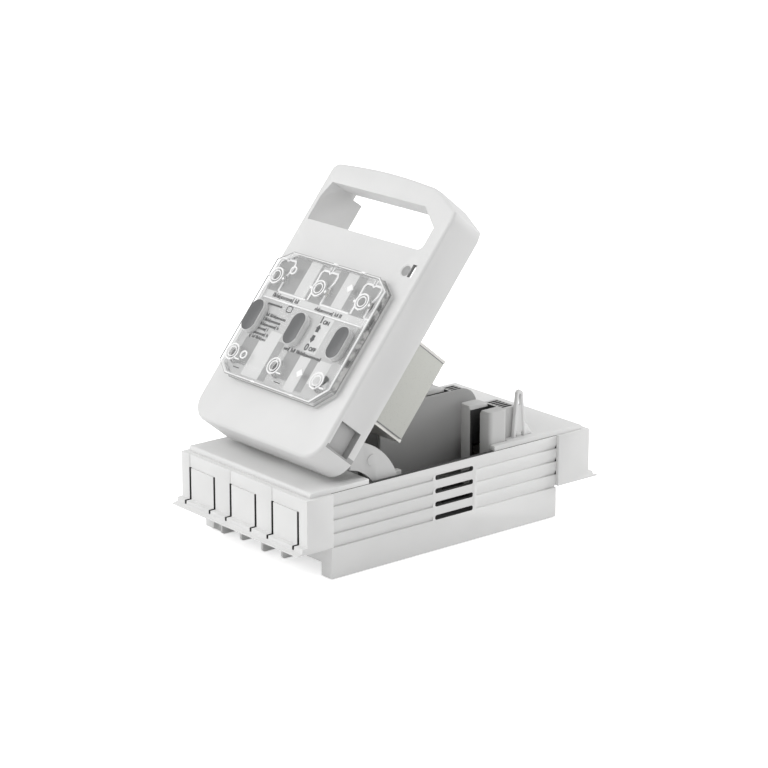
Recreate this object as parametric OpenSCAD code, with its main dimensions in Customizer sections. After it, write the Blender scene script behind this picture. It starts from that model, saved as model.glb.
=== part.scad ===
// Three-pole fuse switch disconnector with a hinged fuse lid, lying on its back.
// The origin is on the mounting plane, at the centre of the four mounting holes.
// X runs across the poles, Y from the hinge end to the handle end, Z away from the wall.

/* [Poles and housing] */
// Distance between the centres of neighbouring poles
pole_pitch = 35; // [34:0.5:38]
// Distance from an outer pole's centre to the outside of the side wall
side_margin = 16.3; // [15.8:0.1:18]
// Height of the side walls above the mounting plane
wall_h = 45; // [43:0.5:48]
// Thickness of the side and end walls
wall = 2.5; // [2:0.1:3]
// Height of the floor's underside above the mounting plane
floor_z = 6.9; // [5:0.1:8]
// Thickness of the floor
floor_t = 2.5; // [2:0.1:3]
// Width of the rails that the housing stands on
rail_w = 8.3; // [6:0.1:9]
// Spacing of the mounting holes along the housing
mount_l = 98; // [94:0.5:99]
// Bore of the mounting holes
mount_bore = 5.5; // [4.5:0.1:6.5]

/* [Side wall grooves and vents] */
// Number of grooves in each side wall
groove_count = 4; // [2:1:5]
// Height of the lowest groove's centre
groove_z = 17.65; // [15:0.05:19]
// Distance between grooves
groove_pitch = 7.15; // [6:0.05:8]
// Height of one groove
groove_h = 2.8; // [2:0.1:3.6]
// Depth of one groove at its lower edge
groove_d = 1.3; // [0.5:0.1:1.6]
// Start of the vent slots, from the front end of the box
vent_y = 67.5; // [60:0.5:72]
// Length of the vent slots
vent_l = 25.5; // [20:0.5:30]
// Height of the vent slots
vent_h = 2.6; // [2:0.1:3]
// Length of the plain patch before the vent slots
vent_lead = 1.4; // [1:0.1:3]
// Length of the plain patch behind the vent slots
vent_patch = 2.5; // [1.5:0.5:6]

/* [Terminal shrouds and cover plates] */
// Length of the front terminal shroud
front_shroud_l = 16.5; // [14:0.5:24]
// Length of the rear terminal shroud
rear_shroud_l = 22; // [18:0.5:28]
// How far the shrouds stand proud of the side walls
shroud_lap = 1.7; // [1:0.1:2.5]
// Wall thickness of the shrouds
shroud_wall = 2; // [1.6:0.1:2.6]
// Height of the shrouds' lower edge
shroud_z = 17.3; // [15:0.1:20]
// Width of one break-out flap
flap_w = 21; // [18:0.5:24]
// Height of a flap's hinge line above the mounting plane
flap_top = 37.8; // [34:0.1:41]
// Width of the slots beside a flap
flap_slot = 1.5; // [0.6:0.1:1.8]
// How far the foot step stands out from the shroud's face
foot_out = 3.2; // [2:0.1:4.5]
// Height of the foot step
foot_h = 3.3; // [2.5:0.1:4.5]
// How far the thin lip stands out from the foot step
lip_out = 3.3; // [2:0.1:5]
// Thickness of the cover plates
plate_t = 2.6; // [2:0.1:3.2]
// Set-back of the cover plates from the shrouds' faces
plate_setback = 3.5; // [2:0.1:6]
// Distance from the box's front end to the front cover plate's rear edge
front_plate_end = 24.3; // [20:0.1:25]
// Distance from the box's front end to the rear cover plate's front edge
rear_plate_start = 108; // [106.5:0.1:110]

/* [Contacts] */
// Thickness of the terminal bars
bar_t = 3; // [2:0.5:4]
// Width of the terminal bars
bar_w = 18; // [16:1:18]
// Height of the terminal bars' top face
bar_z = 21; // [19:0.5:23]
// Thickness of one jaw leaf
leaf_t = 1.8; // [1.2:0.1:2]
// Length of the jaws along the housing
jaw_l = 8.5; // [7:0.1:8.5]
// Height of the jaws' tips
jaw_top = 42.5; // [40:0.5:43.5]
// Diameter of the terminal bolts
bolt_d = 8; // [6:1:8]
// Distance from each end of the box to its terminal bolts
bolt_inset = 13; // [11:0.5:15]

/* [Arc chambers and partitions] */
// Width of an arc chamber's front part
chamber_w = 24.2; // [22:0.1:24.6]
// Start of the arc chambers, from the front end of the box
chamber_y = 108.3; // [107.5:0.1:109.5]
// Length of an arc chamber's front part
chamber_l = 11.5; // [11:0.1:12.5]
// Width of an arc chamber's louvred rear part
vent_box_w = 16.4; // [14:0.1:17]
// Length of an arc chamber's louvred rear part
vent_box_l = 10.5; // [8:0.1:11]
// Height of the arc chambers above the mounting plane
chamber_top = 64.6; // [60:0.1:65.5]
// Wall thickness of the chambers and contact guards
chamber_wall = 1.6; // [1.2:0.1:2]
// Thickness of the phase partitions
partition_t = 2; // [1.4:0.1:2.4]
// Height of the phase partitions above the mounting plane
partition_top = 70; // [66:0.5:70]
// Start of the phase partitions, from the front end of the box
partition_start = 58; // [57.5:0.1:60]
// End of the phase partitions, from the front end of the box
partition_end = 124; // [120:0.5:124.5]
// Radius of the partitions' top corner
partition_r = 10; // [9.5:0.5:14]

/* [Hinge] */
// Distance from the box's front end to the hinge axis
hinge_in = 11.5; // [11:0.1:12]
// Height of the hinge axis above the mounting plane
hinge_z = 31.9; // [31.5:0.1:32.4]
// Diameter of the hinge pins
pin_d = 6; // [5:0.1:7]
// Radial clearance of the arms on their pins
pin_clear = 0.05; // [0.02:0.01:0.1]
// Thickness of the hinge arms
arm_t = 3; // [2.4:0.1:3.2]
// Inner radius of the arms' curved band
arm_in_r = 21.5; // [21.4:0.1:22.5]
// Outer radius of the arms' curved band
arm_out_r = 36; // [33:0.1:36.5]
// Angle that the lid is open in the modelled pose
open_angle = 50.9; // [45:0.1:60]

/* [Lid] */
// Length of the lid with its handle
lid_l = 154.3; // [150:0.5:158]
// Depth of the lid's side walls
lid_t = 22.3; // [21.8:0.1:24]
// How far the lid stands proud of the housing's side walls
lid_lap = 1.2; // [0.6:0.1:1.6]
// Wall thickness of the lid
lid_wall = 2; // [1.8:0.1:2.1]
// Radius of the lid's lower corners
lid_r = 12; // [8:0.5:14]
// Radius of the rounding round the lid's front
lid_round = 1.8; // [0.8:0.1:2]
// Length of the chamfer at the handle's right corner, across the lid
grip_cut_x = 22; // [14:0.5:24]
// Length of the chamfer at the handle's right corner, along the lid
grip_cut_y = 12; // [8:0.5:12]
// Width of the handle's bar beyond the finger opening
grip_bar = 11.3; // [9:0.1:12]
// Length of the finger opening along the lid
grip_l = 23.2; // [20:0.1:24]
// Height of the arch of the handle's upper edge
grip_arch = 1.7; // [0.5:0.1:2.5]
// Wall between the finger opening and the lid's left side, at the front
grip_left = 4; // [3.6:0.1:4.1]
// How far the finger opening's left wall leans inwards from front to back
grip_lean = 6.5; // [4:0.1:8]
// Wall between the finger opening and the lid's right side
grip_right = 9.2; // [8:0.1:11]
// Depth of the grip's inner wall
grip_depth = 15.3; // [12:0.1:18]
// Radius of the finger opening's lower right corner
grip_r = 3.5; // [2:0.5:5]
// Width of the gusset in the finger opening's upper left corner
gusset_w = 3; // [2:0.5:6]
// Length of the gusset along the lid
gusset_l = 8.8; // [6:0.1:12]
// Depth of the gusset from the lid's front
gusset_t = 12.1; // [8:0.1:14]
// Distance from the closed lid's back edge to the box's front end
lid_y = 22; // [21.7:0.1:22.3]
// Gap under the closed lid, above the cover plates
lid_gap = 0.4; // [0.3:0.1:1]

/* [Window] */
// Distance from the left rims to the window cover's left edge
window_edge_l = 2.8; // [2.4:0.1:4]
// Distance from the right rims to the window cover's right edge
window_edge_r = 6.2; // [3:0.1:7]
// Start of the window cover, from the lid's hinge end
window_y = 25.7; // [25:0.1:30]
// Length of the window cover
window_l = 72.4; // [70:0.2:76]
// Height of the lid's plinth under the window cover
plinth_h = 2.1; // [1.5:0.1:3]
// Height of the window cover above the plinth
window_h = 4.6; // [4:0.1:6]
// Thickness of the window cover
window_t = 1.4; // [1:0.1:1.6]
// Width of one viewing lens
lens_w = 10.4; // [9:0.1:12]
// Length of one viewing lens
lens_l = 18.6; // [16:0.1:20]
// Distance from the window's lower edge to the lenses' centres
lens_y = 33.6; // [32:0.1:38]
// How far the lenses lie left of the poles' centres
lens_shift = 4; // [0:0.1:4.2]
// Distance from the window's lower edge to the lower test holes
test_low = 11.6; // [11:0.1:15]
// Distance from the window's lower edge to the upper test holes
test_high = 57.4; // [56:0.1:61]
// Diameter of the test holes
test_d = 4.8; // [3:0.1:5.5]
// Outer diameter of the raised rims round the test holes
rim_d = 9.4; // [7:0.1:10]
// How far the test holes lie left of the poles' centres
window_shift = 2.9; // [0:0.1:3.5]

/* [Fuse links] */
// Width of a fuse link's body
fuse_w = 27; // [24:0.5:28]
// Length of a fuse link's body without its end plates
fuse_l = 44.5; // [42:0.5:45]
// Depth of a fuse link's body, front to back
fuse_h = 40; // [38:0.5:40.5]
// Thickness of a fuse link's end plates
cap_t = 1.7; // [1.2:0.1:2.2]
// Length of a contact blade
blade_l = 15; // [13:0.5:15.5]
// Width of a contact blade
blade_w = 15; // [12:0.5:16]
// Thickness of a contact blade
blade_t = 6; // [5.8:0.1:6.2]
// Distance from the lid's hinge end to the fuse links' centres
fuse_y = 58.3; // [58:0.1:58.6]
// How far the fuse bodies stand out behind the lid's back edge
fuse_back = 25.5; // [22:0.5:27]

/* [Hidden] */
$fn = 32;

// Overall places of the housing
half_w = pole_pitch + side_margin;
chamber_end = chamber_y + chamber_l + vent_box_l;
washer_r = bolt_d;
washer_gap = 0.2;
base_l = chamber_end + washer_gap + washer_r + bolt_inset;
base_front = -(front_shroud_l + base_l + rear_shroud_l) / 2 + front_shroud_l;
floor_top = floor_z + floor_t;
inner_w = half_w - wall;
mount_y = -base_front - mount_l / 2;
partition_x = pole_pitch / 2;
plate_top = wall_h + plate_t;

// Lid places, in the closed lid's own frame: x across, y from its hinge end, z from its back edge
lid_half = half_w + lid_lap;
lid_z = plate_top + lid_gap;
skin_z = lid_t - lid_wall;
plinth_top = lid_t + plinth_h;
grip_x0 = -lid_half + grip_left;
grip_x1 = lid_half - grip_right;
grip_y = lid_l - grip_bar - grip_l;
grip_end = grip_y + grip_l;
grip_corner_x = 14;
grip_corner_y = 10;
window_end = window_y + window_l;
window_x0 = -pole_pitch - window_shift - rim_d / 2 - window_edge_l;
window_x1 = pole_pitch - window_shift + rim_d / 2 + window_edge_r;

// Fuse carrier places, in the lid's frame
carrier_low = -1.8;
carrier_top = 4.5;
carrier_y0 = 27.6;
carrier_y1 = 85.3;
post_x = 46.4;
posts = [-post_x, -partition_x, partition_x, post_x];
post_y = 30.6;
post_d = 4.6;
rest_t = 2.4;
screw_d = 2.5;
screw_grip = 4;
label_t = 1.2;
lens_rise = 0.5;
lens_play = 0.2;

// Hinge arm places
arm_gap = 0.9;
arm_face = inner_w - arm_gap;
head_d = 9.5;
head_t = 1.2;
head_gap = 0.2;
pin_cover = 1.5;
bearing_t = 0.5;
tab_y = 8.4;
tab_l = 18.6;
tab_top = 18.8;
port_y = 10.6;
port_l = 14.3;
port_z = 4.5;
port_h = 15;

// Fuse link places, in the lid's frame
cap_y0 = fuse_y - fuse_l / 2 - cap_t;
cap_y1 = fuse_y + fuse_l / 2 + cap_t;
fuse_top = fuse_h - fuse_back;
blade_z = (fuse_top - fuse_back - blade_w) / 2;
fuse_fit = 0.4;
lug_h = 2.4;

// Jaw places, from the front end of the box
slot_w = blade_t + 1.4;
jaw_gap = blade_t + 0.6;
spring_t = 1;
spring_room = spring_t + 0.1;
link_gap = 3.8;
front_jaw_y = lid_y + cap_y0 - link_gap - chamber_wall - spring_room - jaw_l;
rear_jaw_y = chamber_y + chamber_wall + spring_room;
guard_y0 = front_jaw_y - spring_room - chamber_wall;
guard_l = jaw_l + 2 * (spring_room + chamber_wall);
guard_w = 16;
guard_top = 44.4;
bolt_front_y = bolt_inset;
bolt_rear_y = chamber_end + washer_gap + washer_r;
bolt_play = 0.4;
washer_t = 1.6;
nut_h = 5.5;
nut_across = bolt_d * 1.625 / cos(30);
slot_end = chamber_l + 0.8;
vent_inner = vent_box_w - 2 * chamber_wall;
plates_y = slot_end + chamber_wall;
plates_l = chamber_l + vent_box_l - chamber_wall - plates_y;
plates_pitch = 2.6;
clip_half = 4.4;
clip_room = 5.3;
clip_x = pole_pitch + 10.4;
clip_y = chamber_y + chamber_l + clip_room + clip_half;
clip_t = 2.2;
clip_play = 0.4;
partition_play = 0.7;

// Places a child in a frame whose origin is the front end of the box
module from_front() {
    translate([0, base_front, 0]) children();
}

// Places a child drawn in the lid's own frame on the open lid
module on_lid() {
    translate([0, base_front + hinge_in, hinge_z]) rotate([open_angle, 0, 0])
        translate([0, lid_y - hinge_in, lid_z - hinge_z]) children();
}

// Centre of a pole, counted 1 to 3 from the left
function pole_x(pole) = (pole - 2) * pole_pitch;

// Points of a circular arc
function arc(centre, radius, from, to, steps = 8) = [
    for (i = [0 : steps])
        let (a = from + (to - from) * i / steps)
        centre + radius * [cos(a), sin(a)]
];

// Extrudes a Y-Z profile along X, from x0 over a width
module along_x(x0, width) {
    translate([x0, 0, 0]) rotate([90, 0, 90]) linear_extrude(width) children();
}

// Extrudes an X-Z profile along Y, from y0 over a length
module along_y(y0, length) {
    translate([0, y0 + length, 0]) rotate([90, 0, 0]) linear_extrude(length) children();
}

// A block between two corners
module block(from, to) {
    translate(from) cube(to - from);
}

// A block with upright edges rounded by true cylinders
module rounded_block(size, r) {
    translate([r, 0, 0]) cube([size[0] - 2 * r, size[1], size[2]]);
    translate([0, r, 0]) cube([size[0], size[1] - 2 * r, size[2]]);
    for (x = [r, size[0] - r], y = [r, size[1] - r])
        translate([x, y, 0]) cylinder(r = r, h = size[2]);
}

// A rectangle with rounded corners, as a flat shape
module rounded_rect(w, h, r) {
    translate([r, 0]) square([w - 2 * r, h]);
    translate([0, r]) square([w, h - 2 * r]);
    for (x = [r, w - r], y = [r, h - r])
        translate([x, y]) circle(r = r);
}

// Long groove along one side wall: its face slopes in towards the lower edge
module wall_groove(z, y0, y1) {
    along_y(y0, y1 - y0)
        polygon([
            [half_w + 0.5, z + groove_h / 2 + 0.5 * groove_h / groove_d],
            [half_w - groove_d, z - groove_h / 2],
            [half_w + 0.5, z - groove_h / 2]
        ]);
}

// Slot through one side wall, with round ends
module wall_vent(z) {
    along_x(half_w - wall - 1, wall + 2)
        translate([vent_y, z - vent_h / 2]) rounded_rect(vent_l, vent_h, vent_h * 0.4);
}

// One side wall with its rail, grooves and vents, on the +X side
module side_wall() {
    difference() {
        union() {
            block([inner_w, 0, 0], [half_w, base_l, wall_h]);
            block([half_w - rail_w, 0, 0], [inner_w, base_l, floor_top]);
            // bearing boss of the hinge pin
            translate([inner_w - bearing_t, hinge_in, hinge_z]) rotate([0, 90, 0])
                cylinder(d = pin_d + 5, h = bearing_t + 0.1);
        }
        for (i = [0 : groove_count - 1]) {
            z = groove_z + i * groove_pitch;
            wall_groove(z, -1, vent_y - vent_lead);
            wall_groove(z, vent_y + vent_l + vent_patch, base_l + 1);
            wall_vent(z);
        }
    }
}

// End wall of the box with a terminal gateway for each pole
module end_wall(y0) {
    gate_w = bar_w + 4;
    gate_z = bar_z - bar_t;
    lintel = 4;
    difference() {
        block([-inner_w, y0, floor_z], [inner_w, y0 + wall, wall_h]);
        for (pole = [1 : 3])
            translate([pole_x(pole) - gate_w / 2, y0 - 1, gate_z])
                cube([gate_w, wall + 2, wall_h - lintel - gate_z]);
    }
}

// Rib under the front end of the floor, with a rounded lower corner
module foot_rib(x, depth, drop) {
    rib_t = 1.6;
    r = 1.5;
    along_x(x - rib_t / 2, rib_t)
        polygon(concat([[depth, floor_z + 0.5], [-3, floor_z + 6], [-3, drop + r]],
            arc([-3 + r, drop + r], r, 180, 270, 4), [[depth, drop]]));
}

module base_housing() {
    guide_t = 1.5;
    guide_l = 14;
    guide_h = 12;
    gap = 0.1;
    guide_x = partition_t / 2 + gap + guide_t / 2;
    pedestal_l = 16;
    pedestal_h = bar_z - bar_t - floor_top;
    rib_shift = 2.5;
    rib_step = 16.8;
    rib_l = 14;
    pin_fit = 0.02;
    color("gainsboro") from_front() difference() {
        union() {
            side_wall();
            mirror([1, 0, 0]) side_wall();
            end_wall(0);
            end_wall(base_l - wall);
            block([-inner_w, 0, floor_z], [inner_w, base_l, floor_top]);
            // mounting bosses
            for (x = [-partition_x, partition_x], y = [mount_y, mount_y + mount_l])
                translate([x, y, 0]) cylinder(d = mount_bore + 6.5, h = floor_top);
            // guides that hold the phase partitions
            for (x = [-partition_x, partition_x], side = [-1, 1],
                y = [partition_start + gap, partition_end - 10 - guide_l])
                translate([x + side * guide_x - guide_t / 2, y, floor_top - 0.1])
                    cube([guide_t, guide_l, guide_h]);
            // pedestals under the terminal bars
            for (pole = [1 : 3]) {
                for (y = [bolt_front_y, bolt_rear_y])
                    translate([pole_x(pole) - bar_w / 2, y - pedestal_l / 2, floor_top - 0.1])
                        cube([bar_w, pedestal_l, pedestal_h + 0.1]);
                for (y = [front_jaw_y, rear_jaw_y])
                    translate([pole_x(pole) - bar_w / 2, y, floor_top - 0.1])
                        cube([bar_w, jaw_l, pedestal_h + 0.1]);
            }
            for (pole = [1, 2]) {
                foot_rib(pole_x(pole) - rib_shift, rib_l, 0.4);
                foot_rib(pole_x(pole) - rib_shift + rib_step, rib_l - 4, 1.4);
            }
            block([-half_w, -3, 1.5], [-half_w + 7, 0.5, shroud_z - 0.3]);
        }
        for (x = [-partition_x, partition_x], y = [mount_y, mount_y + mount_l])
            translate([x, y, -1]) cylinder(d = mount_bore, h = floor_top + 2);
        for (side = [0, 1]) mirror([side, 0, 0])
            translate([inner_w - 1, hinge_in, hinge_z]) rotate([0, 90, 0])
                cylinder(r = pin_d / 2 + pin_fit, h = wall - pin_cover + 1);
        // nut pockets and bolt bores in the terminal pedestals
        for (pole = [1 : 3], y = [bolt_front_y, bolt_rear_y])
            translate([pole_x(pole), y, bar_z - bar_t - nut_h - bolt_play])
                cylinder(d = nut_across + bolt_play, h = nut_h + bar_t, $fn = 6);
    }
}

// Cover plate with a chamfered outer edge, from its inner edge to its outer edge
module cover_plate(inner, outer) {
    edge = 1;
    inset = 0.3;
    w = half_w - inset;
    slope = outer > inner ? -edge : edge;
    along_x(-w, 2 * w)
        polygon([[inner, wall_h], [outer, wall_h], [outer, plate_top - edge], [outer + slope, plate_top],
            [inner, plate_top]]);
}

module front_cover_plate() {
    color("whitesmoke") from_front() cover_plate(front_plate_end, plate_setback - front_shroud_l);
}

module rear_cover_plate() {
    fit = 0.3;
    color("whitesmoke") from_front() difference() {
        cover_plate(rear_plate_start, base_l + rear_shroud_l - plate_setback);
        block([-pole_pitch - chamber_w / 2 - fit, rear_plate_start - 1, wall_h - 1],
            [pole_pitch + chamber_w / 2 + fit, chamber_y + chamber_l + fit, plate_top + 1]);
        block([-pole_pitch - vent_box_w / 2 - fit, rear_plate_start - 1, wall_h - 1],
            [pole_pitch + vent_box_w / 2 + fit, chamber_y + chamber_l + vent_box_l + fit, plate_top + 1]);
    }
}

// Terminal shroud with its open end at y = 0 and its face at y = -length
module terminal_shroud(length) {
    w = half_w + shroud_lap;
    score = 0.5;
    lip_t = 1.1;
    difference() {
        union() {
            difference() {
                block([-w, -length, shroud_z], [w, 0, wall_h]);
                block([-w + shroud_wall, -length + shroud_wall, shroud_z + shroud_wall],
                    [w - shroud_wall, 1, wall_h - shroud_wall]);
            }
            along_x(-w, 2 * w)
                polygon([[-length + 0.5, shroud_z], [-length - foot_out - lip_out, shroud_z],
                    [-length - foot_out - lip_out, shroud_z + lip_t / 2],
                    [-length - foot_out, shroud_z + lip_t], [-length - foot_out, shroud_z + foot_h],
                    [-length + 0.5, shroud_z + foot_h]]);
        }
        for (pole = [1 : 3]) {
            x0 = pole_x(pole) - flap_w / 2;
            for (x = [x0, x0 + flap_w])
                block([x - flap_slot / 2, -length - foot_out - 0.6, shroud_z + lip_t + 0.2],
                    [x + flap_slot / 2, -length + shroud_wall + 0.5, flap_top]);
            block([x0, -length - 1, flap_top - score / 2],
                [x0 + flap_w, -length + score, flap_top + score / 2]);
            block([x0 - score / 2, -length - 1, flap_top],
                [x0 + score / 2, -length + score, wall_h + 1]);
        }
    }
}

module front_terminal_shroud() {
    color("white") from_front() terminal_shroud(front_shroud_l);
}

module rear_terminal_shroud() {
    color("white") from_front() translate([0, base_l, 0]) rotate([0, 0, 180]) terminal_shroud(rear_shroud_l);
}

// Partition between two poles, with a cut front corner and a rounded rear corner
module phase_partition(x) {
    cut_y = 4;
    cut_z = 6;
    foot_end = partition_end - 4;
    r = partition_r;
    along_x(x - partition_t / 2, partition_t)
        polygon(concat([[partition_start, floor_top], [foot_end, floor_top], [foot_end, wall_h + 3],
            [partition_end, wall_h + 7]],
            arc([partition_end - r, partition_top - r], r, 0, 90, 8),
            [[partition_start + cut_y, partition_top], [partition_start, partition_top - cut_z]]));
}

module left_phase_partition() {
    color("darkgray") from_front() phase_partition(-partition_x);
}

module right_phase_partition() {
    color("darkgray") from_front() phase_partition(partition_x);
}

// Outer form of an arc chamber, from the terminal bar to its rounded top
module chamber_form() {
    r = 2;
    h = chamber_top - bar_z;
    translate([-chamber_w / 2, 0, bar_z]) rounded_block([chamber_w, chamber_l, h], r);
    translate([-vent_box_w / 2, chamber_l - 3, bar_z]) rounded_block([vent_box_w, vent_box_l + 3, h - 1], 1);
}

// Arc chamber round a rear jaw: blade slot in front, louvres over the arc plates behind
module arc_chamber(pole) {
    roof = 2.5;
    jaw_room = jaw_top + 0.8;
    louvre_w = 1.5;
    translate([pole_x(pole), chamber_y, 0]) difference() {
        chamber_form();
        // room for the jaw
        translate([-vent_inner / 2, chamber_wall, bar_z - 1])
            cube([vent_inner, slot_end - chamber_wall, jaw_room - bar_z + 1]);
        // slot for the fuse link's blade
        translate([-slot_w / 2, -1, bar_z - 1]) cube([slot_w, slot_end + 1, chamber_top]);
        // room for the arc plates
        translate([-vent_inner / 2, plates_y, bar_z - 1])
            cube([vent_inner, plates_l, chamber_top - roof - bar_z]);
        for (i = [-2 : 2])
            translate([i * plates_pitch - louvre_w / 2, plates_y, bar_z])
                cube([louvre_w, plates_l, chamber_top]);
        // bevelled lead-in of the blade slot
        along_y(-1, slot_end + 1)
            polygon([[-slot_w / 2 - 2, chamber_top + 1], [slot_w / 2 + 2, chamber_top + 1],
                [slot_w / 2, chamber_top - 2], [-slot_w / 2, chamber_top - 2]]);
    }
}

// Steel plates that cool the arc, standing in the chamber's rear part
module arc_plates(pole) {
    sheet = 1;
    lift = 4;
    plates_h = 30;
    for (i = [-1.5 : 1 : 1.5])
        translate([pole_x(pole) + i * plates_pitch - sheet / 2, chamber_y + plates_y, bar_z + lift])
            cube([sheet, plates_l, plates_h]);
}

// Guard round a front jaw, with a slot that the fuse link's blade drops into
module front_contact_guard(pole) {
    translate([pole_x(pole), guard_y0, bar_z]) difference() {
        translate([-guard_w / 2, 0, 0]) rounded_block([guard_w, guard_l, guard_top - bar_z], 1.5);
        translate([-guard_w / 2 + chamber_wall, chamber_wall, -1])
            cube([guard_w - 2 * chamber_wall, guard_l - 2 * chamber_wall, jaw_top + 0.4 - bar_z + 1]);
        translate([-slot_w / 2, -1, 2]) cube([slot_w, guard_l + 2, guard_top]);
    }
}

// Flat terminal bar with a rounded outer end and a bolt bore
module terminal_bar(y_bolt, y_jaw) {
    end_r = 3;
    end_gap = 10;
    y0 = min(y_bolt - end_gap, y_jaw);
    y1 = max(y_bolt + end_gap, y_jaw + jaw_l);
    translate([0, 0, bar_z - bar_t]) difference() {
        translate([-bar_w / 2, y0, 0]) rounded_block([bar_w, y1 - y0, bar_t], end_r);
        translate([0, y_bolt, -1]) cylinder(d = bolt_d + 0.6, h = bar_t + 2);
    }
}

// Two spring leaves that grip a blade, joined by a foot on the terminal bar
module jaw(y0) {
    foot = 1.5;
    flare = 1;
    jaw_h = jaw_top - bar_z;
    x0 = jaw_gap / 2;
    translate([0, 0, bar_z]) {
        for (side = [0, 1]) mirror([side, 0, 0])
            along_y(y0, jaw_l)
                polygon([[x0, foot - 0.1], [x0 + leaf_t, foot - 0.1], [x0 + leaf_t, jaw_h - 4],
                    [x0 + leaf_t + flare, jaw_h], [x0 + flare, jaw_h], [x0, jaw_h - 4]]);
        translate([-x0 - leaf_t, y0, 0]) cube([2 * (x0 + leaf_t), jaw_l, foot]);
    }
}

// Square spring ring that presses the leaves of one jaw together, below the blade
module jaw_spring(y0) {
    ring_z = bar_z + 1.7;
    ring_h = 2.6;
    x0 = jaw_gap / 2 + leaf_t;
    translate([-x0, y0, ring_z]) difference() {
        translate([-spring_t, -spring_t, 0]) cube([2 * (x0 + spring_t), jaw_l + 2 * spring_t, ring_h]);
        translate([0, 0, -1]) cube([2 * x0, jaw_l, ring_h + 2]);
    }
}

module jaw_springs() {
    color("dimgray") from_front() for (pole = [1 : 3], y = [front_jaw_y, rear_jaw_y])
        translate([pole_x(pole), 0, 0]) jaw_spring(y);
}

// Places a child at each of the six terminal bolts
module at_bolts() {
    from_front() for (pole = [1 : 3], y = [bolt_front_y, bolt_rear_y])
        translate([pole_x(pole), y, 0]) children();
}

module terminal_bolts() {
    head_h = 5.3;
    color("silver") at_bolts() {
        translate([0, 0, bar_z + washer_t]) cylinder(d = nut_across, h = head_h, $fn = 6);
        translate([0, 0, bar_z - bar_t - nut_h])
            cylinder(d = bolt_d - bolt_play, h = bar_t + nut_h + washer_t + 0.1);
    }
}

module terminal_washers() {
    color("silver") at_bolts() translate([0, 0, bar_z]) difference() {
        cylinder(r = washer_r, h = washer_t);
        translate([0, 0, -1]) cylinder(d = bolt_d + 0.4, h = washer_t + 2);
    }
}

module terminal_nuts() {
    color("silver") at_bolts() translate([0, 0, bar_z - bar_t - nut_h]) difference() {
        cylinder(d = nut_across, h = nut_h, $fn = 6);
        translate([0, 0, -1]) cylinder(d = bolt_d, h = nut_h + 2);
    }
}

// Upright eyelet that passes through the closed lid and takes a seal wire
module seal_clip() {
    web_t = 1.1;
    leg = 1.5;
    top = 73;
    base_half = clip_half;
    top_half = 2.1;
    eye_w = 1.2;
    eye_h = 6;
    foot_gap = 2.4;
    gusset = 5;
    z0 = plate_top;
    h = top - top_half - z0;
    color("whitesmoke") from_front() translate([clip_x, clip_y, z0]) {
        along_x(-clip_t / 2, clip_t) difference() {
            union() {
                polygon([[-base_half, 0], [base_half, 0], [top_half, h], [-top_half, h]]);
                translate([0, h]) circle(r = top_half);
            }
            polygon([[-base_half + leg, -1], [base_half - leg, -1],
                [top_half - leg, h], [leg - top_half, h]]);
        }
        // web between the legs, with the eye for the wire
        along_x(-web_t / 2, web_t) difference() {
            polygon([[-base_half + leg / 2, foot_gap], [base_half - leg / 2, foot_gap],
                [top_half - leg / 2, h], [leg / 2 - top_half, h]]);
            translate([-eye_w / 2, h - eye_h]) square([eye_w, eye_h + 1]);
        }
        along_x(-web_t / 2, web_t)
            polygon([[base_half - leg / 2, 0], [base_half + gusset, 0], [base_half + gusset - 0.5, 1],
                [base_half - leg, 9]]);
    }
}

module hinge_pins() {
    color("silver") from_front() for (side = [0, 1]) mirror([side, 0, 0])
        translate([arm_face - arm_t - head_gap - head_t, hinge_in, hinge_z]) rotate([0, 90, 0]) {
            cylinder(d = pin_d, h = half_w - pin_cover - arm_face + arm_t + head_gap + head_t);
            cylinder(d = head_d, h = head_t);
        }
}

// Outline of the lid, moved inwards by an inset
function lid_outline(inset) = let (
    w = lid_half - inset, r = lid_r - inset, top = lid_l - inset, tr = 5 - inset,
    k = inset * (sqrt(grip_cut_x * grip_cut_x + grip_cut_y * grip_cut_y) - grip_cut_x) / grip_cut_y,
    m = inset * (sqrt(grip_cut_x * grip_cut_x + grip_cut_y * grip_cut_y) - grip_cut_y) / grip_cut_x,
    bend = 3
) concat(
    arc([-w + r, inset + r], r, 180, 270),
    arc([w - r, inset + r], r, 270, 360),
    [[w, top - grip_cut_y + inset - m - bend], [w - bend * 0.45, top - grip_cut_y + inset - m + bend * 0.75],
        [w - grip_cut_x + inset - k + bend, top - bend * 0.45]],
    [for (u = [0 : 0.125 : 0.875])
        [(w - grip_cut_x + inset - k - bend) * (1 - u) + (tr - w) * u, top + grip_arch * sin(180 * u)]],
    arc([-w + tr, top - tr], tr, 90, 180, 4)
);

// Outer form of the lid, with its front rounded all the way round
module lid_form() {
    steps = 4;
    hull() for (i = [0 : steps]) {
        a = 90 * i / steps;
        translate([0, 0, i == 0 ? 0 : lid_t - lid_round - 0.02])
            linear_extrude(i == 0 ? lid_t - lid_round : lid_round * sin(a) + 0.02)
                polygon(lid_outline(lid_round * (1 - cos(a))));
    }
}

// Octagon of the window, moved inwards by an inset
function window_outline(inset) = let (
    x0 = window_x0 + inset, x1 = window_x1 - inset,
    y0 = window_y + inset, y1 = window_end - inset,
    cx = 9.3 - inset * 0.5, cy = 6 - inset * 0.5, low_cy = 9.5 - inset * 0.5
) [
    [x0 + cx, y0], [x1 - cx, y0], [x1, y0 + low_cy], [x1, y1 - cy],
    [x1 - cx, y1], [x0 + cx, y1], [x0, y1 - cy], [x0, y0 + cy]
];

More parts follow.
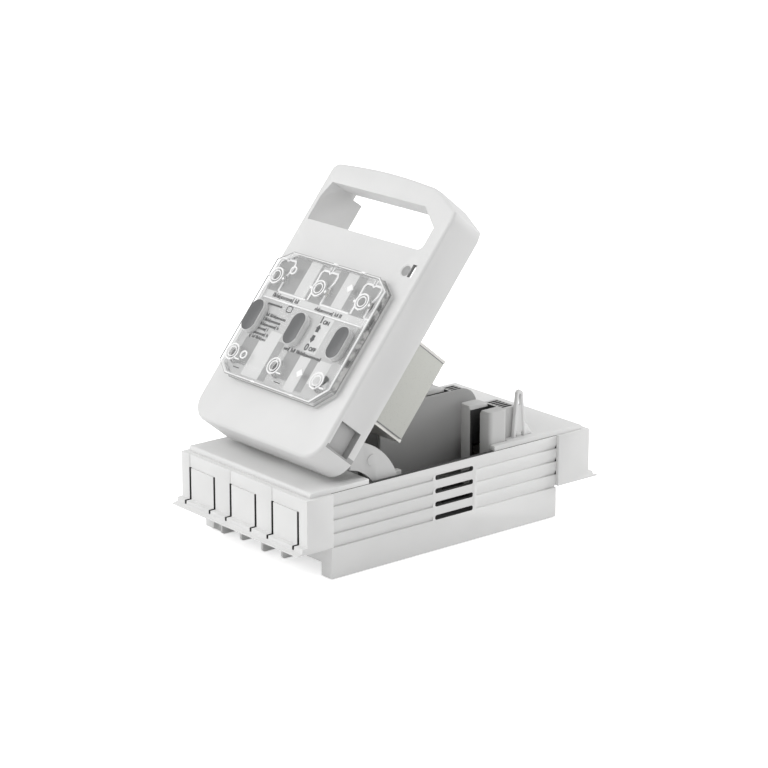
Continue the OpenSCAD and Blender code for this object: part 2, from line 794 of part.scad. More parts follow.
// Solid of the lid's finger opening, wider towards the back of the grip
module grip_cut(x0, x1, extra) {
    along_x(x0 - extra, x1 - x0 + 2 * extra)
        polygon([[grip_y - extra, -1], [grip_end + 3 + extra, -1], [grip_end + extra, skin_z - 6],
            [grip_end + extra, lid_t + 1], [grip_y - extra, lid_t + 1]]);
}

// Finger opening with the cut corner that follows the lid's outline
module grip_hole(extra) {
    corner_x = grip_corner_x + 0.6 * extra;
    corner_y = grip_corner_y + 0.6 * extra;
    far = 10;
    difference() {
        grip_cut(grip_x0, grip_x1, extra);
        translate([grip_x1 + extra, grip_end + extra, -2]) linear_extrude(lid_t + 4)
            polygon([[1, -corner_y], [0, -corner_y], [-corner_x, 0], [-corner_x, far], [1, far]]);
        // round at the lower right corner
        translate([grip_x1 + extra - grip_r, grip_y - extra, -2]) difference() {
            translate([0, -1, 0]) cube([grip_r + 1, grip_r + 1, lid_t + 4]);
            translate([0, grip_r, -1]) cylinder(r = grip_r, h = lid_t + 6);
        }
        // left wall, leaning inwards towards the back
        translate([grip_x0 - extra, 0, 0]) along_y(grip_y - extra - 1, grip_l + 2 * extra + 5)
            polygon([[-1, -2], [grip_lean, -2], [grip_lean, 0], [0, skin_z], [-1, skin_z]]);
    }
}

// Gusset in the finger opening's upper left corner, level with the lid's front
module grip_gusset() {
    translate([grip_x0, grip_end, lid_t - gusset_t]) linear_extrude(gusset_t + 2)
        polygon([[-1, -gusset_l], [0, -gusset_l], [gusset_w, 0], [gusset_w, 1], [-1, 1]]);
}

module lid_shell() {
    pocket_l = 12;
    pocket_t = 2.4;
    slot_low = 3;
    slot_high = 4.2;
    dimple_r = 5;
    dimple_x = 4.6;
    dimple_z = 3.6;
    color("white") on_lid() difference() {
        union() {
            // outer skin and side walls
            difference() {
                lid_form();
                translate([0, 0, -1]) linear_extrude(skin_z + 1) polygon(lid_outline(lid_wall));
            }
            translate([0, 0, skin_z]) linear_extrude(lid_wall + plinth_h) polygon(window_outline(0));
            // walls round the finger opening
            difference() {
                intersection() {
                    grip_hole(2.2);
                    linear_extrude(skin_z + 1) polygon(lid_outline(1));
                }
                translate([grip_x0, grip_end - 1, -1]) cube([lid_half * 2, lid_l, lid_t - grip_depth + 1]);
            }
            // pads that carry the hinge arms, round the side ports
            for (side = [0, 1]) mirror([side, 0, 0])
                block([arm_face, tab_y, 0.5], [lid_half - 1, tab_y + tab_l, skin_z + 1]);
            // posts that carry the fuse carrier
            for (x = posts)
                translate([x, post_y, carrier_top]) cylinder(d = post_d, h = skin_z - carrier_top + 0.5);
            // ribs that the carrier's far end rests against
            for (x = [-post_x, post_x])
                translate([x - rest_t / 2, carrier_y1 - rest_t, carrier_top])
                    cube([rest_t, rest_t, skin_z - carrier_top + 0.5]);
        }
        // finger opening
        difference() {
            grip_hole(0);
            grip_gusset();
        }
        // pockets over the phase partitions
        for (x = [-partition_x, partition_x])
            block([x - partition_t / 2 - partition_play, window_end - pocket_l, skin_z - 1],
                [x + partition_t / 2 + partition_play, window_end - 0.3, skin_z + pocket_t]);
        // window opening
        translate([0, 0, skin_z - 1]) linear_extrude(lid_wall + plinth_h + 2) polygon(window_outline(9));
        // blind holes for the carrier's screws
        for (x = posts)
            translate([x, post_y, carrier_top - 1]) cylinder(d = screw_d, h = screw_grip + 1);
        // side ports that show the hinge arms
        for (side = [0, 1]) mirror([side, 0, 0])
            block([arm_face - 1, port_y, port_z], [lid_half + 1, port_y + port_l, port_z + port_h]);
        // seal slot and the dimple beside it
        translate([clip_x, clip_y - lid_y, 0])
            block([-clip_t / 2 - clip_play, -slot_low, skin_z - 1],
                [clip_t / 2 + clip_play, slot_high, lid_t + 1]);
        translate([clip_x - dimple_x, clip_y - lid_y, lid_t + dimple_z]) sphere(r = dimple_r);
    }
}

// Frame that holds the three fuse links in the lid
module fuse_carrier() {
    x1 = lid_half - lid_wall - 0.2;
    slit = partition_t / 2 + partition_play;
    slit_y = partition_start - lid_y - 1.2;
    blade_room = blade_t / 2 + fuse_fit;
    hook_t = 2.5;
    hook_w = 12;
    nose = 1.8;
    nose_z = fuse_top + lug_h + 0.3;
    color("gainsboro") on_lid() difference() {
        union() {
            block([-x1, carrier_y0, carrier_low], [x1, carrier_y1, carrier_top]);
            // hooks over the lugs of the fuse links' end plates
            for (pole = [1 : 3]) translate([pole_x(pole) - hook_w / 2, 0, 0]) {
                block([0, cap_y0 - fuse_fit - hook_t, carrier_top - 0.5],
                    [hook_w, cap_y0 - fuse_fit, nose_z + nose]);
                block([0, cap_y0 - fuse_fit - 0.1, nose_z], [hook_w, cap_y0 + cap_t, nose_z + nose]);
                block([0, cap_y1 + fuse_fit, carrier_top - 0.5],
                    [hook_w, cap_y1 + fuse_fit + hook_t, nose_z + nose]);
                block([0, cap_y1 - cap_t, nose_z], [hook_w, cap_y1 + fuse_fit + 0.1, nose_z + nose]);
            }
        }
        for (pole = [1 : 3]) translate([pole_x(pole), 0, 0]) {
            block([-fuse_w / 2 - fuse_fit, cap_y0 - fuse_fit, carrier_low - 1],
                [fuse_w / 2 + fuse_fit, cap_y1 + fuse_fit, carrier_top + 0.1]);
            // passages for the blades, open towards the jaws
            block([-blade_room, carrier_y0 - 1, carrier_low - 1],
                [blade_room, carrier_y1 + 1, blade_z + blade_w + fuse_fit]);
        }
        for (x = [-partition_x, partition_x])
            block([x - slit, slit_y, carrier_low - 1], [x + slit, carrier_y1 + 1, carrier_top + 1]);
        for (x = posts)
            translate([x, post_y, carrier_low - 1]) cylinder(d = screw_d + 0.4, h = 10);
    }
}

module carrier_screws() {
    head_h = 1;
    color("silver") on_lid() for (x = posts)
        translate([x, post_y, carrier_low - head_h]) {
            cylinder(d = post_d, h = head_h);
            cylinder(d = screw_d, h = head_h + carrier_top - carrier_low + screw_grip - 1);
        }
}

// Curved arm on the +X side, in the closed lid's frame
module hinge_arm() {
    hub_r = 6.5;
    boss_r = 3;
    boss_h = 0.6;
    boss_y = 29.3;
    boss_z = 2.1;
    root = 1;
    web = 10;
    py = hinge_in - lid_y;
    pz = hinge_z - lid_z;
    band_from = -37;
    band_to = 31;
    far = 70;
    along_x(arm_face - arm_t, arm_t) difference() {
        union() {
            // curved band about the hinge axis
            translate([py, pz]) difference() {
                circle(r = arm_out_r, $fn = 96);
                circle(r = arm_in_r, $fn = 96);
                polygon([[0, 0], far * [cos(band_to), sin(band_to)], [0, far], [-far, far],
                    [-far, -far], [0, -far], far * [cos(band_from), sin(band_from)]]);
            }
            // spoke to the hinge pin
            translate([py, pz]) {
                circle(r = hub_r);
                polygon([4 * [cos(band_from - far), sin(band_from - far)],
                    (arm_in_r + root) * [cos(band_from), sin(band_from)],
                    (arm_in_r + root) * [cos(band_from + web), sin(band_from + web)],
                    4 * [cos(band_from + web + far), sin(band_from + web + far)]]);
            }
            // tab on the lid's pad
            translate([tab_y, -3]) rounded_rect(tab_l, tab_top + 3, 2);
        }
        translate([py, pz]) circle(r = pin_d / 2 + pin_clear);
    }
    translate([arm_face, py + boss_y, pz + boss_z]) rotate([0, 90, 0]) cylinder(r = boss_r, h = boss_h);
}

module right_hinge_arm() {
    color("lightgray") on_lid() hinge_arm();
}

module left_hinge_arm() {
    color("lightgray") on_lid() mirror([1, 0, 0]) hinge_arm();
}

// Printed relief plate under the window cover
module label_plate() {
    color("lightgray") on_lid() translate([0, 0, plinth_top]) difference() {
        linear_extrude(label_t) polygon(window_outline(window_t + 0.4));
        for (pole = [1 : 3], y = [test_low, test_high])
            translate([pole_x(pole) - window_shift, window_y + y, -1])
                cylinder(d = rim_d + 0.4, h = label_t + 2);
    }
}

// Clear cover with raised rims round its test holes
module window_cover() {
    rim_h = 0.6;
    color([0.9, 0.93, 0.95, 0.5]) on_lid() translate([0, 0, plinth_top]) difference() {
        union() {
            difference() {
                linear_extrude(window_h) polygon(window_outline(0));
                translate([0, 0, -1]) linear_extrude(window_h - window_t + 1)
                    polygon(window_outline(window_t));
            }
            for (pole = [1 : 3], y = [test_low, test_high])
                translate([pole_x(pole) - window_shift, window_y + y, 0])
                    cylinder(d = rim_d, h = window_h + rim_h);
        }
        for (pole = [1 : 3], y = [test_low, test_high])
            translate([pole_x(pole) - window_shift, window_y + y, -1]) cylinder(d = test_d, h = window_h + 4);
        for (pole = [1 : 3])
            translate([pole_x(pole) - lens_shift, window_y + lens_y, -1]) lens_shape(window_h + 4, 0);
    }
}

// Upright solid with an oval outline, moved inwards by an inset
module lens_shape(h, inset) {
    r = lens_w / 2 - inset;
    d = (lens_l - lens_w) / 2;
    linear_extrude(h) {
        for (side = [-1, 1])
            translate([0, side * d]) circle(r = r);
        translate([-r, -d]) square([2 * r, 2 * d]);
    }
}

module viewing_lenses() {
    color("gray") on_lid() for (pole = [1 : 3])
        translate([pole_x(pole) - lens_shift, window_y + lens_y, plinth_top + label_t])
            lens_shape(window_h + lens_rise - label_t, lens_play);
}

// Ceramic body of a fuse link
module fuse_body(pole) {
    chamfer = 1.6;
    x0 = pole_x(pole) - fuse_w / 2;
    color("beige") on_lid() along_y(fuse_y - fuse_l / 2, fuse_l)
        polygon([[x0 + chamfer, -fuse_back], [x0 + fuse_w - chamfer, -fuse_back],
            [x0 + fuse_w, -fuse_back + chamfer], [x0 + fuse_w, fuse_top - chamfer],
            [x0 + fuse_w - chamfer, fuse_top], [x0 + chamfer, fuse_top],
            [x0, fuse_top - chamfer], [x0, -fuse_back + chamfer]]);
}

// Metal end plates of a fuse link, each with a lug for the carrier's hook
module fuse_end_plates(pole) {
    lug_w = 10;
    inset = 0.5;
    color("silver") on_lid() for (y = [cap_y0, cap_y1 - cap_t]) {
        translate([pole_x(pole), y, 0]) {
            block([inset - fuse_w / 2, 0, inset - fuse_back], [fuse_w / 2 - inset, cap_t, fuse_top - inset]);
            block([-lug_w / 2, 0, fuse_top - inset - 0.1], [lug_w / 2, cap_t, fuse_top + lug_h]);
        }
    }
}

// Contact blades of a fuse link, rounded at their tips
module fuse_blades(pole) {
    r = 3;
    color("silver") on_lid() along_x(pole_x(pole) - blade_t / 2, blade_t) {
        translate([cap_y1, blade_z]) {
            square([blade_l - r, blade_w]);
            translate([0, r]) square([blade_l, blade_w - 2 * r]);
            for (z = [r, blade_w - r])
                translate([blade_l - r, z]) circle(r = r);
        }
        translate([cap_y0 - blade_l, blade_z]) {
            translate([r, 0]) square([blade_l - r, blade_w]);
            translate([0, r]) square([blade_l, blade_w - 2 * r]);
            for (z = [r, blade_w - r])
                translate([r, z]) circle(r = r);
        }
    }
}

module chamber_node(pole) {
    color("lightgray") from_front() arc_chamber(pole);
}

module plates_node(pole) {
    color("dimgray") from_front() arc_plates(pole);
}

module guard_node(pole) {
    color("lightgray") from_front() front_contact_guard(pole);
}

module front_bar_node(pole) {
    color("peru") from_front() translate([pole_x(pole), 0, 0]) terminal_bar(bolt_front_y, front_jaw_y);
}

module rear_bar_node(pole) {
    color("peru") from_front() translate([pole_x(pole), 0, 0]) terminal_bar(bolt_rear_y, rear_jaw_y);
}

module front_jaw_node(pole) {
    color("silver") from_front() translate([pole_x(pole), 0, 0]) jaw(front_jaw_y);
}

module rear_jaw_node(pole) {
    color("silver") from_front() translate([pole_x(pole), 0, 0]) jaw(rear_jaw_y);
}

base_housing();
front_cover_plate();
rear_cover_plate();
front_terminal_shroud();
rear_terminal_shroud();
left_phase_partition();
right_phase_partition();
chamber_node(1);  // arc_chamber_1
chamber_node(2);  // arc_chamber_2
chamber_node(3);  // arc_chamber_3
plates_node(1);  // arc_plates_1
plates_node(2);  // arc_plates_2
plates_node(3);  // arc_plates_3
guard_node(1);  // front_contact_guard_1
guard_node(2);  // front_contact_guard_2
guard_node(3);  // front_contact_guard_3
front_bar_node(1);  // front_terminal_bar_1
front_bar_node(2);  // front_terminal_bar_2
front_bar_node(3);  // front_terminal_bar_3
rear_bar_node(1);  // rear_terminal_bar_1
rear_bar_node(2);  // rear_terminal_bar_2
rear_bar_node(3);  // rear_terminal_bar_3
front_jaw_node(1);  // front_jaw_1
front_jaw_node(2);  // front_jaw_2
front_jaw_node(3);  // front_jaw_3
rear_jaw_node(1);  // rear_jaw_1
rear_jaw_node(2);  // rear_jaw_2
rear_jaw_node(3);  // rear_jaw_3
jaw_springs();
terminal_bolts();
terminal_washers();
terminal_nuts();
seal_clip();
hinge_pins();
lid_shell();
fuse_carrier();
carrier_screws();
left_hinge_arm();
right_hinge_arm();
label_plate();
window_cover();
viewing_lenses();
fuse_body(1);  // fuse_body_1
fuse_body(2);  // fuse_body_2
fuse_body(3);  // fuse_body_3
fuse_end_plates(1);  // fuse_end_plates_1
fuse_end_plates(2);  // fuse_end_plates_2
fuse_end_plates(3);  // fuse_end_plates_3
fuse_blades(1);  // fuse_blades_1
fuse_blades(2);  // fuse_blades_2
fuse_blades(3);  // fuse_blades_3
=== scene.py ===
"""Dresses a three-pole fuse switch disconnector that lies on its back with its lid open."""
import logging
import math
from dataclasses import dataclass
from enum import Enum
from typing import Callable, NamedTuple, Sequence

import bmesh
import bpy
from mathutils import Matrix, Vector


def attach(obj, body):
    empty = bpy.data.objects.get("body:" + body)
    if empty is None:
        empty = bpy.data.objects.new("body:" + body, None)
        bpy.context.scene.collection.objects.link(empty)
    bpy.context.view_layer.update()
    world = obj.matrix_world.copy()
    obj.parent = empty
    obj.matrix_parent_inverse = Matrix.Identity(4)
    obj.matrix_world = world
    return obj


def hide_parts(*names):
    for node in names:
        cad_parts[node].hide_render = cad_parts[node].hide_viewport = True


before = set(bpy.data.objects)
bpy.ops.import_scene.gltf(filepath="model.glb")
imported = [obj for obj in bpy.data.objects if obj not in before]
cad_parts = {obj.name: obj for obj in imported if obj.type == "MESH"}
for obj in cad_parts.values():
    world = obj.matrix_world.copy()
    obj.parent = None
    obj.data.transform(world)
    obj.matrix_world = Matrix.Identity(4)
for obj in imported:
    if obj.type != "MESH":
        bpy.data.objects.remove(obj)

LOG = logging.getLogger("disconnector")

# Lengths are in millimetres and angles in degrees, unless a docstring says otherwise.
MM = 0.001
POLE_PITCH = 35.0
POLES = (-POLE_PITCH, 0.0, POLE_PITCH)
OPEN_ANGLE = 50.9
HINGE_Y = -67.0
HINGE_Z = 31.9
LID_Y = -56.5
LID_Z = 48.0
WELD_GAP = 0.004
JOIN_GAP = 0.001
FLAT_ANGLE = 0.5
BEVEL_ANGLE = 30.0
BEVEL_STEPS = 2
FINE_STEPS = 3
SMOOTH_ANGLE = 32.0
ROUND_SIDES = 24
DIAMOND_SIDES = 4
INNER_NUMBER = 1
Point = tuple[float, float]
Colour = tuple[float, float, float]
Pick = Callable[[Vector], bool]
Mesh = bmesh.types.BMesh
Numbers = Sequence[float]


class Body(Enum):
    """The two rigid bodies that the pieces ride on."""

    BASE = "base"
    LID = "lid"


class Edge(Enum):
    """How far the edges of a piece are rounded."""

    STAMPED = 0.12
    CRISP = 0.2
    MOULDED = 0.35
    SOFT = 0.7


def base_frame() -> Matrix:
    """Gives the matrix from the base's frame to the row frame, in metres."""
    return Matrix.Scale(MM, 4)


def lid_frame() -> Matrix:
    """Gives the place of the closed lid's own frame on the open lid.

    Returns:
        The matrix from the lid's frame to the row frame, in metres.
    """
    pivot = Matrix.Translation(Vector((0, HINGE_Y, HINGE_Z)))
    swing = Matrix.Rotation(math.radians(OPEN_ANGLE), 4, "X")
    place = Matrix.Translation(Vector((0, LID_Y - HINGE_Y, LID_Z - HINGE_Z)))
    return Matrix.Scale(MM, 4) @ pivot @ swing @ place


class Grain(NamedTuple):
    """A noise over the object coordinates: cycles per metre, octaves and stretch."""

    scale: float
    octaves: float
    stretch: Numbers = (1, 1, 1)


def fill(node: bpy.types.Node, **values: object) -> bpy.types.Node:
    """Sets inputs of a shader node.

    Args:
        node: The node.
        **values: Names of inputs, with underscores for spaces, and their values.

    Returns:
        The node.
    """
    for key, value in values.items():
        node.inputs[key.replace("_", " ")].default_value = value
    return node


class Sheet:
    """One material's node sheet, with the shader and the object coordinates in place."""

    def __init__(self, name: str) -> None:
        """Starts a material with a Principled shader.

        Args:
            name: The material's name.
        """
        self.material = bpy.data.materials.new(name)
        self.material.use_nodes = True
        self.nodes = self.material.node_tree.nodes
        self.links = self.material.node_tree.links
        self.nodes.clear()
        output = self.nodes.new("ShaderNodeOutputMaterial")
        self.shader = self.nodes.new("ShaderNodeBsdfPrincipled")
        self.links.new(self.shader.outputs["BSDF"], output.inputs["Surface"])
        self.coordinates = self.nodes.new("ShaderNodeTexCoord").outputs["Object"]
        self.noises: dict[Grain, bpy.types.NodeSocket] = {}

    def noise(self, grain: Grain) -> bpy.types.NodeSocket:
        """Gives a noise over the object coordinates, built once.

        Args:
            grain: The noise's scale, octaves and stretch.

        Returns:
            The noise's factor socket.
        """
        if grain not in self.noises:
            mapping = fill(self.nodes.new("ShaderNodeMapping"), Scale=grain.stretch)
            self.links.new(self.coordinates, mapping.inputs["Vector"])
            texture = fill(self.nodes.new("ShaderNodeTexNoise"), Scale=grain.scale,
                           Detail=grain.octaves)
            self.links.new(mapping.outputs["Vector"], texture.inputs["Vector"])
            self.noises[grain] = texture.outputs["Fac"]
        return self.noises[grain]

    def ramp(self, grain: Grain, colours: Sequence[Colour], span: Numbers) -> None:
        """Blends two colours over a noise into the base colour.

        Args:
            grain: The noise.
            colours: Colours at the low and the high end.
            span: Factors at which the two colours are plain.
        """
        ramp = self.nodes.new("ShaderNodeValToRGB")
        for stop, place, colour in zip(ramp.color_ramp.elements, span, colours):
            stop.position = place
            stop.color = (*colour, 1)
        self.links.new(self.noise(grain), ramp.inputs["Fac"])
        self.links.new(ramp.outputs["Color"], self.shader.inputs["Base Color"])

    def rough(self, grain: Grain, low: float, high: float) -> None:
        """Maps a noise to a range of roughness.

        Args:
            grain: The noise.
            low: Roughness at its low end.
            high: Roughness at its high end.
        """
        spread = fill(self.nodes.new("ShaderNodeMapRange"), To_Min=low, To_Max=high)
        self.links.new(self.noise(grain), spread.inputs["Value"])
        self.links.new(spread.outputs["Result"], self.shader.inputs["Roughness"])

    def bump(self, grain: Grain, strength: float, depth: float) -> None:
        """Adds a noise as relief to the shader's normal.

        Args:
            grain: The noise.
            strength: Strength of the bump.
            depth: Its depth in metres.
        """
        bump = fill(self.nodes.new("ShaderNodeBump"), Strength=strength, Distance=depth)
        self.links.new(self.noise(grain), bump.inputs["Height"])
        self.links.new(bump.outputs["Normal"], self.shader.inputs["Normal"])


@dataclass(frozen=True)
class Finish:
    """A surface whose tone, roughness and relief each follow a noise.

    The tone runs from the low colour, or else a share of the colour, to a share of the colour.
    The relief's depth is in metres.
    """

    name: str
    colour: Colour
    roughness: Point
    tone_grain: Grain
    gloss_grain: Grain
    skin_grain: Grain | None = None
    relief: float = 0.0
    depth: float = 0.0
    low: Colour | None = None
    shares: Point = (1.0, 1.0)
    span: Point = (0.3, 0.7)
    specular: float = 0.5
    metallic: float = 0.0
    opacity: float = 1.0
    index: float = 1.5
    coat: float = 0.0
    coat_roughness: float = 0.03

    def material(self) -> bpy.types.Material:
        """Builds the material.

        Returns:
            The material.
        """
        sheet = Sheet(self.name)
        low, high = (tuple(channel * share for channel in self.colour) for share in self.shares)
        sheet.ramp(self.tone_grain, (self.low or low, high), self.span)
        sheet.rough(self.gloss_grain, *self.roughness)
        if self.skin_grain:
            sheet.bump(self.skin_grain, self.relief, self.depth)
        fill(sheet.shader, Metallic=self.metallic, Specular_IOR_Level=self.specular,
             IOR=self.index, Alpha=self.opacity, Coat_Weight=self.coat,
             Coat_Roughness=self.coat_roughness)
        if self.opacity < 1.0:
            sheet.material.surface_render_method = "BLENDED"
        return sheet.material


@dataclass(frozen=True)
class MouldedPlastic(Finish):
    """Fine-grained moulded plastic with a faint drift of tone."""

    roughness: Point = (0.36, 0.5)
    shares: Point = (0.96, 1.0)
    tone_grain: Grain = Grain(38, 4)
    gloss_grain: Grain = Grain(160, 2)
    skin_grain: Grain = Grain(3200, 2)
    relief: float = 0.12
    depth: float = 0.00006
    specular: float = 0.35


@dataclass(frozen=True)
class PlatedMetal(Finish):
    """Satin metal with fine draw lines along one axis."""

    roughness: Point = (0.22, 0.46)
    shares: Point = (0.86, 1.0)
    tone_grain: Grain = Grain(90, 4)
    gloss_grain: Grain = Grain(2600, 3, (1, 0.06, 1))
    skin_grain: Grain = Grain(2600, 3, (1, 0.06, 1))
    relief: float = 0.18
    depth: float = 0.00004
    metallic: float = 1.0


@dataclass(frozen=True)
class Ceramic(Finish):
    """Unglazed steatite with fine dark specks of the low colour."""

    roughness: Point = (0.5, 0.72)
    span: Point = (0.3, 0.42)
    tone_grain: Grain = Grain(1500, 5)
    gloss_grain: Grain = Grain(300, 3)
    skin_grain: Grain = Grain(1900, 4)
    relief: float = 0.2
    depth: float = 0.00008
    specular: float = 0.3


@dataclass(frozen=True)
class ClearPlastic(Finish):
    """Clear polycarbonate, see-through by its opacity, or near-white as a painted highlight when
    nearly opaque.
    """

    roughness: Point = (0.042, 0.09)
    shares: Point = (0.97, 1.0)
    tone_grain: Grain = Grain(120, 3)
    gloss_grain: Grain = Grain(120, 3)
    opacity: float = 0.05
    specular: float = 0.6
    index: float = 1.58
    coat: float = 0.3
    coat_roughness: float = 0.04


@dataclass(frozen=True)
class BandedClear(Finish):
    """Clear side wall whose inner reflections read as light and dark bands."""

    roughness: Point = (0.06, 0.2)
    span: Point = (0.4, 0.6)
    tone_grain: Grain = Grain(260, 2, (0.04, 1, 1))
    gloss_grain: Grain = Grain(260, 2, (0.04, 1, 1))
    opacity: float = 0.62
    specular: float = 0.6
    index: float = 1.58


@dataclass(frozen=True)
class PrintInk(Finish):
    """Matte printing ink with slightly uneven cover."""

    roughness: Point = (0.5, 0.7)
    shares: Point = (1.0, 1.5)
    span: Point = (0.45, 0.8)
    tone_grain: Grain = Grain(900, 3)
    gloss_grain: Grain = Grain(500, 2)
    skin_grain: Grain = Grain(2500, 2)
    relief: float = 0.05
    depth: float = 0.00002


DEAD_MATTE = (0.54, 0.68)
MATTE = (0.44, 0.58)
HOUSING = MouldedPlastic("housing_plastic", (0.76, 0.76, 0.755))
# Near-black painted shade for the housing's inner faces, its vents and the shroud cavities and
# slots.
HOUSING_PAINTED_SHADE = MouldedPlastic("housing_painted_shade", (0.07, 0.07, 0.07), DEAD_MATTE)
SHROUD = MouldedPlastic("shroud_plastic", (0.75, 0.75, 0.745))
PARTITION = MouldedPlastic("partition_plastic", (0.355, 0.355, 0.353), MATTE)
CHAMBER = MouldedPlastic("chamber_plastic", (0.58, 0.58, 0.575), MATTE)
# Near-black painted shade for the rooms inside the arc chambers and the contact guards.
CHAMBER_PAINTED_SHADE = MouldedPlastic("chamber_painted_shade", (0.05, 0.05, 0.05), DEAD_MATTE)
LID_SKIN = MouldedPlastic("lid_plastic", (0.69, 0.69, 0.687), (0.32, 0.46), relief=0.1)
# Grey painted shade for the lid's side ports, its seal slot and the dimple.
LID_PAINTED_SHADE = MouldedPlastic("lid_painted_shade", (0.36, 0.36, 0.358), MATTE)
CARRIER = MouldedPlastic("carrier_plastic", (0.55, 0.55, 0.547), (0.42, 0.56))
LABEL = MouldedPlastic("label_plastic", (0.53, 0.53, 0.527), MATTE, relief=0.05)
LABEL_LIGHT = MouldedPlastic("label_light", (0.68, 0.68, 0.677), MATTE, relief=0.05)
LABEL_DARK = MouldedPlastic("label_dark", (0.34, 0.34, 0.338), MATTE, relief=0.05)
LABEL_WHITE = MouldedPlastic("label_white", (0.9, 0.9, 0.9), (0.34, 0.48), relief=0.05)
LENS = MouldedPlastic("lens_plastic", (0.128, 0.13, 0.132), (0.24, 0.38), relief=0.02,
                      specular=0.4)
CLEAR = ClearPlastic("clear_cover", (0.9, 0.91, 0.92))
# Near-white painted highlight for the cover's rounded edges, its holes and its raised marks.
COVER_HIGHLIGHT = ClearPlastic("clear_cover_painted_highlight", (0.97, 0.97, 0.97), (0.14, 0.3), opacity=0.9)
CLEAR_SIDE = BandedClear("clear_cover_side", (0.7, 0.7, 0.69), low=(0.2, 0.2, 0.2))
INK = PrintInk("print_ink", (0.03, 0.03, 0.032))
GREY_INK = PrintInk("grey_print_ink", (0.05, 0.05, 0.05))
CERAMIC = Ceramic("fuse_ceramic", (0.55, 0.555, 0.52), low=(0.49, 0.493, 0.46))
END_PLATE = PlatedMetal("end_plate_metal", (0.80, 0.79, 0.76), (0.32, 0.56))
CONTACT = PlatedMetal("contact_metal", (0.66, 0.65, 0.61))
ZINC = PlatedMetal("zinc_steel", (0.62, 0.63, 0.64), (0.26, 0.5))
SPRING = PlatedMetal("spring_steel", (0.26, 0.26, 0.27), (0.3, 0.54))


class Workshop:
    """Turns meshes into finished pieces and keeps one material for each finish."""

    def __init__(self) -> None:
        """Starts with no material."""
        self.stock: dict[str, bpy.types.Material] = {}

    def material(self, finish: Finish) -> bpy.types.Material:
        """Gives the finish's material, built once.

        Args:
            finish: The finish.

        Returns:
            Its material.
        """
        if finish.name not in self.stock:
            self.stock[finish.name] = finish.material()
        return self.stock[finish.name]

    def dress(self, node: str, finish: Finish) -> None:
        """Gives a CAD node a better material and leaves its shape.

        Args:
            node: The node's name.
            finish: The finish that it takes.
        """
        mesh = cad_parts[node].data
        mesh.materials.clear()
        mesh.materials.append(self.material(finish))
        LOG.info("dressed %s in %s", node, finish.name)

    def piece(self, shape: Mesh, name: str, body: Body, slot: str,
              finishes: Sequence[Finish], stands_for: Sequence[str] = ()) -> None:
        """Makes an object of a finished mesh and lets it ride on its body.

        Args:
            shape: The mesh, in the row frame; it is freed.
            name: The piece's name.
            body: The body that it rides on.
            slot: The record's material slot; not used.
            finishes: Finishes in the order of the mesh's material numbers.
            stands_for: CAD nodes that it replaces.
        """
        bmesh.ops.recalc_face_normals(shape, faces=shape.faces)
        mesh = bpy.data.meshes.new(name)
        shape.to_mesh(mesh)
        shape.free()
        for finish in finishes:
            mesh.materials.append(self.material(finish))
        mesh.shade_smooth()
        mesh.set_sharp_from_angle(angle=math.radians(SMOOTH_ANGLE))
        made = bpy.data.objects.new(name, mesh)
        bpy.context.scene.collection.objects.link(made)
        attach(made, body.value)
        if stands_for:
            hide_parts(*stands_for)
        LOG.info("made %s with %d faces", name, len(mesh.polygons))

    def lid_piece(self, shape: Mesh, name: str, slot: str, *finishes: Finish) -> None:
        """Makes a piece of the lid from a mesh in the lid's frame, which is freed."""
        bmesh.ops.transform(shape, matrix=lid_frame(), verts=shape.verts)
        self.piece(shape, name, Body.LID, slot, finishes)

    def soften(self, node: str, body: Body, finish: Finish, edge: Edge,
               segments: int = BEVEL_STEPS, inside: Finish | None = None,
               hidden: Pick | None = None, only: Pick | None = None) -> None:
        """Replaces a CAD node by a merged copy whose edges are rounded.

        Args:
            node: The node's name.
            body: The body that it rides on.
            finish: The finish that it takes, named after the record's material slot.
            edge: How far its edges are rounded.
            segments: Steps across each rounding.
            inside: Finish of the faces that hidden picks.
            hidden: Test of a face's centre, in its body's frame, that picks the inner faces.
            only: Test of an edge's middle, in the base's frame, that picks the edges to round.
        """
        shape = merged(node)
        if hidden:
            place = lid_frame() if body is Body.LID else base_frame()
            paint(shape, place, hidden, INNER_NUMBER)
        round_edges(shape, edge.value, segments=segments, only=only)
        finishes = [finish, inside] if inside else [finish]
        self.piece(shape, f"{node}_moulded", body, finish.name, finishes, [node])


def merged(node: str) -> Mesh:
    """Copies a CAD node's triangles into one closed mesh of flat faces.

    Args:
        node: The node's name.

    Returns:
        The merged mesh, in the row frame.
    """
    shape = bmesh.new()
    shape.from_mesh(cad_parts[node].data)
    bmesh.ops.remove_doubles(shape, verts=shape.verts, dist=WELD_GAP * MM)
    bmesh.ops.dissolve_limit(shape, angle_limit=math.radians(FLAT_ANGLE), verts=shape.verts,
                             edges=shape.edges)
    return shape


def paint(shape: Mesh, place: Matrix, test: Pick, material: int) -> None:
    """Gives some faces of a mesh another material number.

    Args:
        shape: The mesh, in the row frame.
        place: Matrix of the frame that the test is in.
        test: Test of a face's centre, in that frame.
        material: The material number.
    """
    back = place.inverted()
    for face in shape.faces:
        if test(back @ face.calc_center_median()):
            face.material_index = material


def round_edges(shape: Mesh, width: float, least: float = BEVEL_ANGLE, segments: int = BEVEL_STEPS,
                only: Pick | None = None, material: int = -1) -> None:
    """Bevels the sharp edges of a mesh.

    Args:
        shape: The mesh, in the row frame.
        width: Width of the bevel.
        least: Edges flatter than this angle stay.
        segments: Steps across each rounding.
        only: Test of an edge's middle, in the base's frame, that it has to pass.
        material: Material number of the new faces, or -1 for that of their neighbours.
    """
    limit = math.radians(least)
    edges = [
        edge for edge in shape.edges
        if edge.is_manifold and edge.calc_face_angle(0.0) > limit
        and (only is None or only((edge.verts[0].co + edge.verts[1].co) / 2 / MM))
    ]
    bmesh.ops.bevel(shape, geom=edges, offset=width * MM, offset_type="OFFSET",
                    segments=segments, profile=0.5, affect="EDGES", clamp_overlap=True,
                    material=material)


